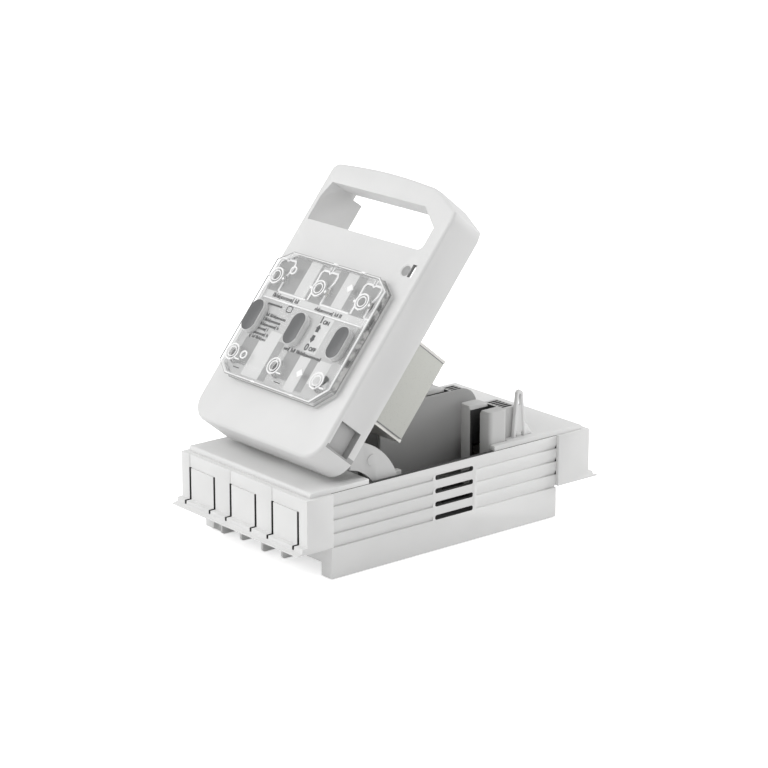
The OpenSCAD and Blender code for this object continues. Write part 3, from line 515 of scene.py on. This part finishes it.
def raise_faces(shape: Mesh, faces: Sequence[bmesh.types.BMFace],
                height: float) -> list[bmesh.types.BMVert]:
    """Extrudes faces straight up and keeps the old ones as the underside.

    Args:
        shape: The mesh.
        faces: The faces to extrude.
        height: How far they rise.

    Returns:
        The raised vertices.
    """
    made = bmesh.ops.extrude_face_region(shape, geom=faces, use_keep_orig=True)["geom"]
    verts = [item for item in made if isinstance(item, bmesh.types.BMVert)]
    bmesh.ops.translate(shape, vec=(0, 0, height), verts=verts)
    return verts


def plate(shape: Mesh, outline: Sequence[Point], low: float, high: float,
          material: int = 0) -> None:
    """Adds a flat plate of the given outline to a mesh.

    Args:
        shape: The mesh.
        outline: Corner points, in order.
        low: Height of its underside.
        high: Height of its top.
        material: Material number of its faces.
    """
    corners = [shape.verts.new((x, y, low)) for x, y in outline]
    verts = raise_faces(shape, [shape.faces.new(corners)], high - low)
    for face in {face for vert in [*corners, *verts] for face in vert.link_faces}:
        face.material_index = material


def box_outline(x0: float, y0: float, x1: float, y1: float, cut: float = 0.0) -> list[Point]:
    """Gives a rectangle's corner points.

    Args:
        x0: Its left side.
        y0: Its lower side.
        x1: Its right side.
        y1: Its upper side.
        cut: Length that is cut off each corner.

    Returns:
        The corner points, in order.
    """
    if not cut:
        return [(x0, y0), (x1, y0), (x1, y1), (x0, y1)]
    return [(x0 + cut, y0), (x1 - cut, y0), (x1, y0 + cut), (x1, y1 - cut),
            (x1 - cut, y1), (x0 + cut, y1), (x0, y1 - cut), (x0, y0 + cut)]


def circle_outline(x: float, y: float, radius: float, count: int = ROUND_SIDES) -> list[Point]:
    """Gives the corners of a regular polygon about a point, in order."""
    turns = [math.tau * step / count for step in range(count)]
    return [(x + radius * math.cos(turn), y + radius * math.sin(turn)) for turn in turns]


def bead(shape: Mesh, outline: Sequence[Point], width: float, low: float, high: float) -> None:
    """Adds a raised closed bead that follows an outline on its inner side.

    Args:
        shape: The mesh.
        outline: Corner points, in order.
        width: Width of the bead.
        low: Height of its foot.
        high: Height of its top.
    """
    face = shape.faces.new([shape.verts.new((x, y, low)) for x, y in outline])
    shape.normal_update()
    rim = bmesh.ops.inset_region(shape, faces=[face], thickness=width, use_boundary=True,
                                 use_even_offset=True)["faces"]
    bmesh.ops.delete(shape, geom=[face], context="FACES")
    raise_faces(shape, rim, high - low)


def stroke(shape: Mesh, path: Sequence[Point], width: float, low: float, high: float) -> None:
    """Adds a raised line of even width along a path to a mesh.

    Args:
        shape: The mesh.
        path: Points of the line's middle, in order.
        width: Width of the line.
        low: Height of its foot.
        high: Height of its top.
    """
    left, right = [], []
    for index, (x, y) in enumerate(path):
        before = Vector(path[max(index - 1, 0)])
        after = Vector(path[min(index + 1, len(path) - 1)])
        run = (after - before).normalized()
        aside = Vector((-run.y, run.x)) * width / 2
        left.append((x + aside.x, y + aside.y))
        right.append((x - aside.x, y - aside.y))
    for index in range(len(path) - 1):
        plate(shape, [right[index], right[index + 1], left[index + 1], left[index]], low, high)
    bmesh.ops.remove_doubles(shape, verts=shape.verts, dist=JOIN_GAP)


class Room(NamedTuple):
    """The room inside one pole's moulding: its half width, its two ends and its top."""

    half: float
    start: float
    end: float
    top: float

    def holds(self, at: Vector, x: float) -> bool:
        """Tells whether a point of the base lies in the room of the pole at x."""
        return abs(at.x - x) < self.half and self.start < at.y < self.end and at.z < self.top


@dataclass
class Assembly:
    """A sub-assembly, which is made in a workshop."""

    shop: Workshop


@dataclass
class Base(Assembly):
    """The housing with its cover plates, shrouds, partitions, chambers and contacts."""

    wall_inside: float = 49.0
    wall_outside: float = 51.1
    vent_start: float = -11.2
    vent_end: float = 14.7
    vent_low: float = 14.3
    floor_low: float = 7.5
    box_front: float = -76.1
    box_rear: float = 70.6
    front_end: float = -78.8
    rear_end: float = 73.3
    shroud_face: float = 95.0
    shroud_wall: float = 3.0
    shroud_half: float = 53.0
    shroud_low: float = 17.3
    shroud_high: float = 45.0
    side_margin: float = 0.4
    face_margin: float = 0.6
    lip_out: float = 3.0
    lip_top: float = 18.7
    lip_edge: float = 0.3
    slot_x: float = 10.5
    slot_half: float = 0.85
    slot_foot: float = 1.2
    slot_top: float = 37.9
    chamber: Room = Room(7.0, 29.95, 51.65, 62.4)
    guard: Room = Room(7.0, -39.75, -26.05, 44.3)

    def build(self) -> None:
        """Dresses or replaces each piece of the base."""
        # The box's inner faces and its vents take a near-black painted shade.
        self.shop.soften("base_housing", Body.BASE, HOUSING, Edge.CRISP,
                         inside=HOUSING_PAINTED_SHADE, hidden=self.within_box)
        for end in ("front", "rear"):
            self.shop.soften(f"{end}_cover_plate", Body.BASE, SHROUD, Edge.CRISP)
            # Each shroud's cavity and flap slots take a near-black painted shade.
            self.shop.soften(f"{end}_terminal_shroud", Body.BASE, SHROUD, Edge.CRISP,
                             inside=HOUSING_PAINTED_SHADE, hidden=self.within_shroud, only=self.off_lip)
        for side in ("left", "right"):
            self.shop.soften(f"{side}_phase_partition", Body.BASE, PARTITION, Edge.MOULDED)
        self.shop.soften("seal_clip", Body.BASE, SHROUD, Edge.MOULDED)
        for pole, x in enumerate(POLES, 1):
            self.build_pole(pole, x)
        self.shop.dress("jaw_springs", SPRING)
        for node in ("terminal_bolts", "terminal_washers", "terminal_nuts", "hinge_pins"):
            self.shop.dress(node, ZINC)

    def build_pole(self, pole: int, x: float) -> None:
        """Dresses or replaces the pieces of one pole.

        Args:
            pole: The pole's number.
            x: Place of its middle.
        """
        # The chamber's room and the guard's room take a near-black painted shade.
        self.shop.soften(f"arc_chamber_{pole}", Body.BASE, CHAMBER, Edge.SOFT, FINE_STEPS,
                         inside=CHAMBER_PAINTED_SHADE, hidden=lambda at: self.chamber.holds(at, x),
                         only=lambda at: not self.chamber.holds(at, x))
        self.shop.soften(f"front_contact_guard_{pole}", Body.BASE, CHAMBER, Edge.MOULDED,
                         inside=CHAMBER_PAINTED_SHADE, hidden=lambda at: self.guard.holds(at, x))
        self.shop.dress(f"arc_plates_{pole}", SPRING)
        for end in ("front", "rear"):
            self.shop.dress(f"{end}_terminal_bar_{pole}", CONTACT)
            self.shop.dress(f"{end}_jaw_{pole}", CONTACT)

    def within_box(self, at: Vector) -> bool:
        """Tells which points lie inside the housing's box or in a vent of its walls, where faces
        take painted shade.

        Args:
            at: The point, in the base's frame.

        Returns:
            True inside the box or in a vent.
        """
        vent = (self.vent_start < at.y < self.vent_end and abs(at.x) < self.wall_outside
                and at.z > self.vent_low)
        inner = (abs(at.x) < self.wall_inside and self.box_front < at.y < self.box_rear
                 and at.z > self.floor_low)
        return vent or inner

    def within_shroud(self, at: Vector) -> bool:
        """Tells which points lie in a shroud's cavity or in the slots beside its flaps, where
        faces take painted shade.

        Args:
            at: The point, in the base's frame.

        Returns:
            True in the cavity or a slot.
        """
        aside = min(abs(abs(at.x - x) - self.slot_x) for x in POLES)
        slot = (aside < self.slot_half and abs(at.y) > self.shroud_face - self.shroud_wall
                and self.shroud_low + self.slot_foot < at.z < self.slot_top)
        beyond = at.y < self.front_end or at.y > self.rear_end
        deep = (beyond and abs(at.y) < self.shroud_face - self.face_margin
                and abs(at.x) < self.shroud_half - self.side_margin)
        foot, roof = self.shroud_low + self.side_margin, self.shroud_high - self.side_margin
        return slot or (deep and foot < at.z < roof)

    def off_lip(self, at: Vector) -> bool:
        """Tells whether a point of the base lies away from the lip at a shroud's foot."""
        return abs(at.y) < self.shroud_face + self.lip_out or at.z > self.lip_top + self.lip_edge


@dataclass
class Lid(Assembly):
    """The lid with its handle, hinge arms, fuse carrier and fuse links."""

    port_in: float = 40.0
    port_out: float = 52.9
    port_start: float = 10.5
    port_end: float = 25.0
    port_low: float = 4.4
    port_high: float = 19.6
    fuse_half: float = 13.5
    fuse_start: float = 36.2
    fuse_end: float = 80.4
    fuse_low: float = -23.6
    fuse_high: float = 12.6
    joint_proud: float = 0.06
    joint_depth: float = 0.3
    start_joint: float = 0.5
    end_joint: float = 0.35
    slot_x: float = 45.4
    slot_half: float = 1.6
    slot_start: float = 104.3
    slot_end: float = 111.9
    dimple_x: float = 4.6
    dimple_s: float = 108.1
    dimple_radius: float = 3.6
    dimple_edge: float = 0.35
    dimple_depth: float = 2.5
    skin_top: float = 22.2

    def build(self) -> None:
        """Dresses or replaces each piece of the lid apart from its window."""
        # The side ports, the seal slot and its dimple take a grey painted shade.
        self.shop.soften("lid_shell", Body.LID, LID_SKIN, Edge.MOULDED,
                         inside=LID_PAINTED_SHADE, hidden=self.within_skin)
        self.shop.soften("fuse_carrier", Body.LID, CARRIER, Edge.CRISP)
        self.shop.dress("carrier_screws", ZINC)
        for side in ("left", "right"):
            self.shop.soften(f"{side}_hinge_arm", Body.LID, CARRIER, Edge.MOULDED)
        for pole in range(1, len(POLES) + 1):
            self.shop.soften(f"fuse_body_{pole}", Body.LID, CERAMIC, Edge.MOULDED)
            self.shop.soften(f"fuse_end_plates_{pole}", Body.LID, END_PLATE, Edge.STAMPED)
            self.shop.soften(f"fuse_blades_{pole}", Body.LID, CONTACT, Edge.MOULDED)
        self.joints()

    def joints(self) -> None:
        """Adds the thin dark joints between the fuse bodies and their end plates."""
        shape = bmesh.new()
        across = self.fuse_half + self.joint_proud
        for x in POLES:
            for s, width in ((self.fuse_start, self.start_joint), (self.fuse_end, self.end_joint)):
                for side in (-1, 1):
                    outer = x + side * across
                    inner = outer - side * self.joint_depth
                    outline = box_outline(min(outer, inner), s - width / 2,
                                          max(outer, inner), s + width / 2)
                    plate(shape, outline, self.fuse_low, self.fuse_high)
        self.shop.lid_piece(shape, "fuse_joints", "fuse_ceramic", SPRING)

    def within_skin(self, at: Vector) -> bool:
        """Tells which points lie in a side port, the seal slot or its dimple, where faces take
        painted shade.

        Args:
            at: The point, in the lid's frame.

        Returns:
            True in a port, the slot or the dimple.
        """
        port = (self.port_in < abs(at.x) < self.port_out
                and self.port_start < at.y < self.port_end
                and self.port_low < at.z < self.port_high)
        slot = (abs(at.x - self.slot_x) < self.slot_half
                and self.slot_start < at.y < self.slot_end and at.z < self.skin_top)
        away = math.hypot(at.x - self.slot_x + self.dimple_x, at.y - self.dimple_s)
        dimple = (away < self.dimple_radius
                  and self.dimple_edge < self.skin_top - at.z < self.dimple_depth)
        return port or slot or dimple


class PrintRow(NamedTuple):
    """A row of plain strokes: its middle, its ends, their height and width, and its lift."""

    s: float
    right: float
    left: float = -37.4
    height: float = 1.9
    width: float = 0.5
    lift: float = 0.0


@dataclass
class Window(Assembly):
    """The clear cover, its raised marks, the lenses and the printed plate under it.

    Points and areas are given as x across the lid and s along it.
    """

    cover_low: float = 24.4
    cover_top: float = 29.0
    cover_left: float = -45.4
    cover_right: float = 43.0
    cover_front: float = 25.7
    cover_rear: float = 98.1
    cover_cut: float = 9.3
    corner_short: float = 6.0
    corner_tall: float = 9.5
    edge_width: float = 0.6
    edge_corner: float = 0.4
    edge_level: float = 0.1
    hole_edge: float = 0.15
    hole_angle: float = 60.0
    side_margin: float = 0.5
    side_depth: float = 2.0
    corner_depth: float = 10.0
    corner_middle: float = 61.9
    corner_slope: float = 0.65
    corner_out: float = 16.2
    # Grow, width, foot and top of the dark painted shadow line round the cover's foot, and of the
    # one below its edge.
    foot_shadow: Numbers = (0.45, 0.45, -0.05, 0.12)
    edge_shadow: Numbers = (0.3, 0.4, -1.0, -0.6)
    sink: float = 0.05
    bead_height: float = 0.4
    ring_x: Numbers = (-37.9, -2.9, 32.1)
    ring_low: float = 37.3
    ring_high: float = 83.1
    rings: Sequence[Point] = ((4.75, 0.8), (3.05, 0.56))
    ring_top: float = 29.6
    ring_height: float = 0.12
    small_rings: Sequence[Point] = ((-28.0, 88.4), (-28.9, 37.6))
    small_ring: Point = (2.4, 0.8)
    diamonds: Sequence[Point] = ((18.7, 88.0), (17.5, 38.0))
    diamond_radius: float = 2.5
    ear_x: float = 5.7
    ear_drop: float = 0.6
    ear_radius: float = 0.9
    foot_mark: Numbers = (3.7, -3.3, 7.4, -2.5)
    tabs: Sequence[Point] = ((-0.8, 98.0), (21.4, 98.0), (-12.0, 26.0), (20.0, 26.0))
    tab_half: Point = (1.6, 0.5)
    tab_low: float = 0.8
    tab_drop: float = 0.2
    small_cut: float = 0.2
    label_top: float = 25.6
    field_sink: float = 0.02
    light_lift: float = 0.1
    dark_lift: float = 0.06
    band_lift: float = 0.03
    band_width: float = 6.0
    light_fields: Sequence[Numbers] = (
        (-22.3, 77.0, -13.6, 97.0), (8.0, 77.0, 16.4, 97.0), (-43.4, 72.2, 41.0, 75.8),
        (7.2, 50.3, 16.4, 70.8), (-27.8, 28.2, -14.1, 50.0), (7.2, 28.2, 15.4, 47.8),
        (21.4, 35.2, 31.6, 48.6), (-23.0, 50.0, -14.1, 55.2),
    )
    dark_fields: Sequence[Numbers] = (
        (-34.5, 77.0, -22.5, 97.0), (-43.3, 74.9, -34.9, 93.7), (-13.2, 76.6, -11.6, 97.0),
        (-10.4, 74.9, 0.0, 93.7), (1.5, 77.0, 7.8, 97.0), (16.6, 77.0, 23.0, 97.0),
        (24.7, 74.5, 35.1, 93.7), (-38.6, 33.0, -28.2, 48.3), (-14.0, 28.4, -8.6, 51.0),
        (-3.6, 32.8, 6.8, 48.0), (15.6, 29.5, 21.2, 48.0), (35.4, 50.0, 41.0, 70.6),
    )
    line_height: float = 0.35
    key_width: float = 1.15
    key_outline: Sequence[Point] = (
        (-8.3, 85.6), (-8.5, 92.4), (-7.1, 94.2), (-3.2, 94.2), (-2.0, 93.2), (-0.8, 94.2),
        (4.0, 94.2), (4.8, 92.8), (4.8, 89.6), (3.0, 85.4),
    )
    key_legs: Numbers = (-7.5, 3.1)
    leg_ends: Point = (81.6, 76.4)
    key_prongs: Numbers = (-3.0, -1.0)
    prong_ends: Point = (94.6, 97.2)
    prong_width: float = 0.6
    rules: Sequence[Numbers] = (
        (-34.4, -12.0, 76.2), (0.0, 23.0, 76.2), (35.6, 41.0, 76.2), (-43.4, 37.4, 71.5),
    )
    rule_width: float = 0.8
    print_top: float = 25.7
    ink_height: float = 0.08
    sign_lift: float = 0.06
    rows: Sequence[PrintRow] = (
        PrintRow(62.8, -16.6), PrintRow(60.1, -19.4), PrintRow(57.4, -18.6),
        PrintRow(54.8, -25.6), PrintRow(52.0, -23.2), PrintRow(49.5, -23.2),
        PrintRow(74.0, -14.4, -37.8, 2.5, 0.62, 0.06), PrintRow(73.6, 20.2, -1.6, 2.1, 0.6, 0.06),
        PrintRow(49.0, 24.2, -7.4, 2.0, 0.72, 0.06),
    )
    stroke_pitch: float = 1.55
    turn_step: int = 37
    turn_count: int = 23
    blank_turns: Sequence[int] = (4, 17)
    short_stroke: float = 0.62
    tail: float = 0.2
    wide_stroke: float = 1.25
    thin_stroke: float = 0.9
    bar: Numbers = (-37.0, 68.1, -25.2, 69.1)
    square: Numbers = (-21.4, 66.9, -17.0, 70.7)
    square_cut: float = 0.6
    square_line: float = 0.45
    dashes: Sequence[Point] = ((-36.0, 30.6), (-1.2, 30.2))
    dash_size: Point = (4.8, 0.5)
    arrow_x: float = 8.5
    arrow_head: float = 1.8
    arrow_stem: float = 1.1
    arrow_neck: float = 0.52
    arrows: Sequence[Point] = ((61.9, 66.2), (60.0, 55.7))
    signs: Sequence[tuple[str, float, float, float]] = (
        ("I", 7.2, 67.2, 3.9), ("ON", 9.4, 67.0, 2.2), ("0", 6.4, 51.1, 3.9),
        ("OFF", 9.9, 51.5, 2.2),
    )
    sign_scale: float = 1.38
    sign_weight: float = 0.14
    sign_steps: int = 3

    def build(self) -> None:
        """Makes the cover, the lenses and the plate."""
        self.cover()
        self.paint_cover_shadows()
        self.marks()
        self.shop.soften("viewing_lenses", Body.LID, LENS, Edge.MOULDED, FINE_STEPS,
                         inside=LABEL_LIGHT,
                         hidden=lambda at: at.z < self.cover_top + self.edge_level)
        self.shop.soften("label_plate", Body.LID, LABEL, Edge.STAMPED)
        self.fields()
        self.lines()
        self.print_rows()
        self.switch_marks()

    def cover(self) -> None:
        """Rounds the clear cover, paints near-white highlights on its edges and paints reflection
        bands on its side walls.
        """
        shape = merged("window_cover")
        highlighted, banded = 1, 2
        paint(shape, lid_frame(), self.on_side, banded)
        back = lid_frame().inverted() @ base_frame()
        round_edges(shape, self.edge_width, only=lambda at: self.on_outline(back @ at),
                    material=highlighted)
        round_edges(shape, self.hole_edge, self.hole_angle,
                    only=lambda at: not self.on_outline(back @ at), material=highlighted)
        self.shop.piece(shape, "window_cover_clear", Body.LID, "clear_cover",
                        [CLEAR, COVER_HIGHLIGHT, CLEAR_SIDE], ["window_cover"])

    def on_side(self, at: Vector) -> bool:
        """Tells which points lie on the cover's right side wall or its corners.

        Args:
            at: The point, in the lid's frame.

        Returns:
            True on the wall or a corner.
        """
        lean = self.corner_slope * abs(at.y - self.corner_middle)
        corner = (at.x > self.cover_right - self.corner_depth
                  and at.x + lean > self.cover_right + self.corner_out)
        between = self.cover_low + self.side_margin < at.z < self.cover_top - self.side_margin
        return between and (at.x > self.cover_right - self.side_depth or corner)

    def on_outline(self, at: Vector) -> bool:
        """Tells which points lie on the outer edge of the cover's top.

        Args:
            at: The point, in the lid's frame.

        Returns:
            True on the edge.
        """
        aside = min(at.x - self.cover_left, self.cover_right - at.x)
        along = min(at.y - self.cover_front, self.cover_rear - at.y)
        near = min(aside, along) < self.edge_width
        corner = aside + along < self.cover_cut + self.edge_corner
        return abs(at.z - self.cover_top) < self.edge_level and (near or corner)

    def outline(self, grow: float) -> list[Point]:
        """Gives the corners of the cover's outline, moved outwards.

        Args:
            grow: How far each side moves.

        Returns:
            The corner points, in order.
        """
        left, right = self.cover_left - grow, self.cover_right + grow
        front, rear = self.cover_front - grow, self.cover_rear + grow
        cut, short, tall = (length + grow / 2
                            for length in (self.cover_cut, self.corner_short, self.corner_tall))
        return [(left + cut, front), (right - cut, front), (right, front + tall),
                (right, rear - short), (right - cut, rear), (left + cut, rear),
                (left, rear - short), (left, front + short)]

    def paint_cover_shadows(self) -> None:
        """Adds thin dark lines of painted shadow round the foot of the cover and below its edge.
        """
        shape = bmesh.new()
        for level, bounds in ((self.cover_low, self.foot_shadow), (self.cover_top, self.edge_shadow)):
            grow, width, low, high = bounds
            bead(shape, self.outline(grow), width, level + low, level + high)
        self.shop.lid_piece(shape, "cover_painted_shadow", "lid_plastic", LABEL_DARK)

    def marks(self) -> None:
        """Adds the raised rings, ears, diamonds and tabs on the cover, in a near-white painted
        highlight.
        """
        shape = bmesh.new()
        low, high = self.cover_top - self.sink, self.cover_top + self.bead_height
        radius, width = self.small_ring
        for x, s in self.small_rings:
            bead(shape, circle_outline(x, s, radius), width, low, high)
        for x, s in self.diamonds:
            plate(shape, circle_outline(x, s, self.diamond_radius, DIAMOND_SIDES), low, high)
        for x in self.ring_x:
            for s in (self.ring_low, self.ring_high):
                for radius, width in self.rings:
                    bead(shape, circle_outline(x, s, radius), width, self.ring_top - self.sink,
                         self.ring_top + self.ring_height)
            for side in (-1, 1):
                ear = circle_outline(x + side * self.ear_x, self.ring_high - self.ear_drop,
                                     self.ear_radius, DIAMOND_SIDES)
                plate(shape, ear, low, high)
            left, front, right, rear = self.foot_mark
            foot = box_outline(x + left, self.ring_low + front, x + right,
                               self.ring_low + rear, self.small_cut)
            plate(shape, foot, low, high)
        half_x, half_s = self.tab_half
        for x, s in self.tabs:
            tab = box_outline(x - half_x, s - half_s, x + half_x, s + half_s, self.small_cut)
            plate(shape, tab, self.cover_top - self.tab_low, high - self.tab_drop)
        self.shop.lid_piece(shape, "cover_marks", "clear_cover", COVER_HIGHLIGHT)

    def fields(self) -> None:
        """Adds the light and dark fields of the printed plate."""
        shape = bmesh.new()
        low = self.label_top - self.field_sink
        kinds = ((self.light_fields, self.light_lift), (self.dark_fields, self.dark_lift))
        for tone, (areas, lift) in enumerate(kinds):
            for left, front, right, rear in areas:
                extra = self.band_lift if rear - front < self.band_width else 0
                plate(shape, box_outline(left, front, right, rear), low, low + lift + extra, tone)
        self.shop.lid_piece(shape, "label_fields", "label_plastic", LABEL_LIGHT, LABEL_DARK)

    def lines(self) -> None:
        """Adds the white keyed outlines and rules that are moulded in the plate."""
        shape = bmesh.new()
        low, high = self.label_top, self.label_top + self.line_height
        for x in self.ring_x:
            stroke(shape, [(x + across, s) for across, s in self.key_outline], self.key_width,
                   low, high)
            for places, ends, width in ((self.key_legs, self.leg_ends, self.key_width),
                                        (self.key_prongs, self.prong_ends, self.prong_width)):
                for across in places:
                    stroke(shape, [(x + across, s) for s in ends], width, low, high)
        for start, end, s in self.rules:
            stroke(shape, [(start, s), (end, s)], self.rule_width, low, high)
        self.shop.lid_piece(shape, "label_lines", "label_plastic", LABEL_WHITE)

    def print_rows(self) -> None:
        """Adds plain strokes and marks where the plate carries print."""
        shape = bmesh.new()
        low, high = self.print_top, self.print_top + self.ink_height
        for row in self.rows:
            self.print_row(shape, row)
        plate(shape, box_outline(*self.bar, self.small_cut), low, high)
        bead(shape, box_outline(*self.square, self.square_cut), self.square_line, low, high)
        length, width = self.dash_size
        for x, s in self.dashes:
            plate(shape, box_outline(x, s, x + length, s + width), low, high)
        self.shop.lid_piece(shape, "print_rows", "lens_plastic", GREY_INK)

    def print_row(self, shape: Mesh, row: PrintRow) -> None:
        """Adds one line of plain upright strokes of uneven heights.

        Args:
            shape: The mesh, in the lid's frame.
            row: The line's place and the size of its strokes.
        """
        pitch = row.width * self.stroke_pitch
        foot, low = row.s - row.height / 2, self.print_top + row.lift
        for step in range(int((row.right - row.left) / pitch)):
            # A fixed pattern of turns picks the blanks, heights, tails and widths.
            turn = (step * self.turn_step + int(row.s * 10)) % self.turn_count
            if turn in self.blank_turns:
                continue
            x = row.left + step * pitch
            tall = row.height * (1.0 if turn % 5 > 2 else self.short_stroke)
            drop = row.height * self.tail if turn % 7 == 3 else 0.0
            wide = row.width * (self.wide_stroke if turn % 4 == 1 else self.thin_stroke)
            plate(shape, box_outline(x, foot - drop, x + wide, foot + tall), low,
                  low + self.ink_height)

    def switch_marks(self) -> None:
        """Adds the two arrows and the generic switch signs."""
        shape = bmesh.new()
        low = self.print_top + self.sign_lift
        x, head, stem = self.arrow_x, self.arrow_head, self.arrow_stem
        for foot, tip in self.arrows:
            neck = tip + (foot - tip) * self.arrow_neck
            outline = [(x - stem, foot), (x + stem, foot), (x + stem, neck), (x + head, neck),
                       (x, tip), (x - head, neck), (x - stem, neck)]
            plate(shape, outline, low, low + self.ink_height)
        for text, left, s, size in self.signs:
            self.sign(shape, text, (left, s, low + self.ink_height / 2), size)
        self.shop.lid_piece(shape, "switch_marks", "lens_plastic", INK)

    def sign(self, shape: Mesh, text: str, place: Numbers, size: float) -> None:
        """Adds one generic switch sign, such as ON, to a mesh.

        Args:
            shape: The mesh.
            text: The sign.
            place: Its left end, its foot and its middle height.
            size: Height of its letters.
        """
        curve = bpy.data.curves.new(f"sign_{text}", "FONT")
        curve.body = text
        curve.size = size * self.sign_scale
        curve.offset = self.sign_weight
        curve.extrude = self.ink_height / 2
        curve.resolution_u = self.sign_steps
        holder = bpy.data.objects.new(curve.name, curve)
        bpy.context.scene.collection.objects.link(holder)
        graph = bpy.context.evaluated_depsgraph_get()
        mesh = bpy.data.meshes.new_from_object(holder.evaluated_get(graph))
        mesh.transform(Matrix.Translation(place))
        shape.from_mesh(mesh)
        bpy.data.objects.remove(holder)
        bpy.data.curves.remove(curve)
        bpy.data.meshes.remove(mesh)


class Lamp(NamedTuple):
    """A square soft lamp: its name, its place and side in metres, and its power in watts."""

    name: str
    place: Numbers
    size: float
    power: float


@dataclass
class Studio:
    """Pale floor, soft lamps, white surround and the camera, placed in metres.

    The focal length is in pixels of a picture of the given width.
    """

    azimuth: float = 50.58
    elevation: float = 16.42
    focal: float = 2773.0
    picture: float = 768.0
    sensor: float = 36.0
    eye: Numbers = (1.0702, -0.8824, 0.4840)
    clip_near: float = 0.05
    clip_far: float = 60.0
    floor_size: float = 8.0
    floor_cells: int = 4
    floor_drop: float = 0.0005
    floor_tone: float = 0.86
    floor_roughness: float = 0.9
    floor_specular: float = 0.1
    floor_glow: float = 0.6
    surround: float = 0.58
    lamp_aim: Numbers = (0.0, 0.0, 0.08)
    lamps: Sequence[Lamp] = (
        Lamp("key", (-0.9, -1.5, 1.3), 1.2, 19.0),
        Lamp("fill", (2.4, 0.3, 0.5), 1.6, 6.0),
        Lamp("top", (0.0, 0.3, 2.0), 1.6, 9.5),
        Lamp("rim", (0.5, 2.2, 0.7), 1.0, 24.0),
        Lamp("low", (-0.2, -1.6, 0.12), 0.8, 2.5),
    )

    def build(self) -> None:
        """Sets up the camera, the floor, the lamps and the surround."""
        self.camera()
        self.floor()
        for lamp in self.lamps:
            self.hang(lamp)
        self.world()
        bpy.context.scene.view_settings.view_transform = "Standard"

    def camera(self) -> None:
        """Places the camera at the photograph's angle."""
        data = bpy.data.cameras.new("camera")
        data.sensor_width = self.sensor
        data.lens = self.focal / self.picture * self.sensor
        data.clip_start = self.clip_near
        data.clip_end = self.clip_far
        eye = bpy.data.objects.new("camera", data)
        bpy.context.scene.collection.objects.link(eye)
        turn, rise = math.radians(self.azimuth), math.radians(self.elevation)
        back = Vector((math.sin(turn) * math.cos(rise), -math.cos(turn) * math.cos(rise),
                       math.sin(rise)))
        right = Vector((math.cos(turn), math.sin(turn), 0))
        facing = Matrix((right, back.cross(right), back)).transposed().to_4x4()
        eye.matrix_world = Matrix.Translation(self.eye) @ facing
        bpy.context.scene.camera = eye

    def floor(self) -> None:
        """Lays a pale floor that is white to the camera and keeps a faint shadow."""
        shape = bmesh.new()
        bmesh.ops.create_grid(shape, x_segments=self.floor_cells, y_segments=self.floor_cells,
                              size=self.floor_size / 2)
        mesh = bpy.data.meshes.new("floor")
        shape.to_mesh(mesh)
        shape.free()
        floor = bpy.data.objects.new("floor", mesh)
        floor.location.z = -self.floor_drop
        bpy.context.scene.collection.objects.link(floor)
        material = bpy.data.materials.new("floor")
        material.use_nodes = True
        nodes, links = material.node_tree.nodes, material.node_tree.links
        shader = fill(nodes["Principled BSDF"], Base_Color=(*[self.floor_tone] * 3, 1),
                      Roughness=self.floor_roughness, Specular_IOR_Level=self.floor_specular,
                      Emission_Color=(1, 1, 1, 1))
        path = nodes.new("ShaderNodeLightPath")
        glow = nodes.new("ShaderNodeMath")
        glow.operation = "MULTIPLY"
        glow.inputs[1].default_value = self.floor_glow
        links.new(path.outputs["Is Camera Ray"], glow.inputs[0])
        links.new(glow.outputs["Value"], shader.inputs["Emission Strength"])
        mesh.materials.append(material)

    def hang(self, lamp: Lamp) -> None:
        """Hangs a square soft lamp that faces the object.

        Args:
            lamp: The lamp.
        """
        data = bpy.data.lights.new(lamp.name, "AREA")
        data.size = lamp.size
        data.energy = lamp.power
        hung = bpy.data.objects.new(lamp.name, data)
        hung.location = lamp.place
        hung.rotation_mode = "QUATERNION"
        facing = Vector(lamp.place) - Vector(self.lamp_aim)
        hung.rotation_quaternion = facing.to_track_quat("Z", "Y")
        bpy.context.scene.collection.objects.link(hung)

    def world(self) -> None:
        """Makes the surround white to the camera and to glass, and softer as light."""
        world = bpy.data.worlds.new("surround")
        world.use_nodes = True
        nodes, links = world.node_tree.nodes, world.node_tree.links
        shader = fill(nodes["Background"], Color=(1, 1, 1, 1))
        path = nodes.new("ShaderNodeLightPath")
        seen = nodes.new("ShaderNodeMath")
        seen.operation = "ADD"
        seen.use_clamp = True
        links.new(path.outputs["Is Camera Ray"], seen.inputs[0])
        links.new(path.outputs["Is Transmission Ray"], seen.inputs[1])
        level = fill(nodes.new("ShaderNodeMapRange"), To_Min=self.surround, To_Max=1.0)
        links.new(seen.outputs["Value"], level.inputs["Value"])
        links.new(level.outputs["Result"], shader.inputs["Strength"])
        bpy.context.scene.world = world


def main() -> None:
    """Builds the sub-assemblies in order and sets the studio round them."""
    logging.basicConfig(level=logging.INFO, format="%(name)s: %(message)s")
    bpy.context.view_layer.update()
    shop = Workshop()
    for part in (Base(shop), Lid(shop), Window(shop)):
        part.build()
        LOG.info("finished the %s", type(part).__name__.lower())
    Studio().build()


if __name__ == "__main__":
    main()
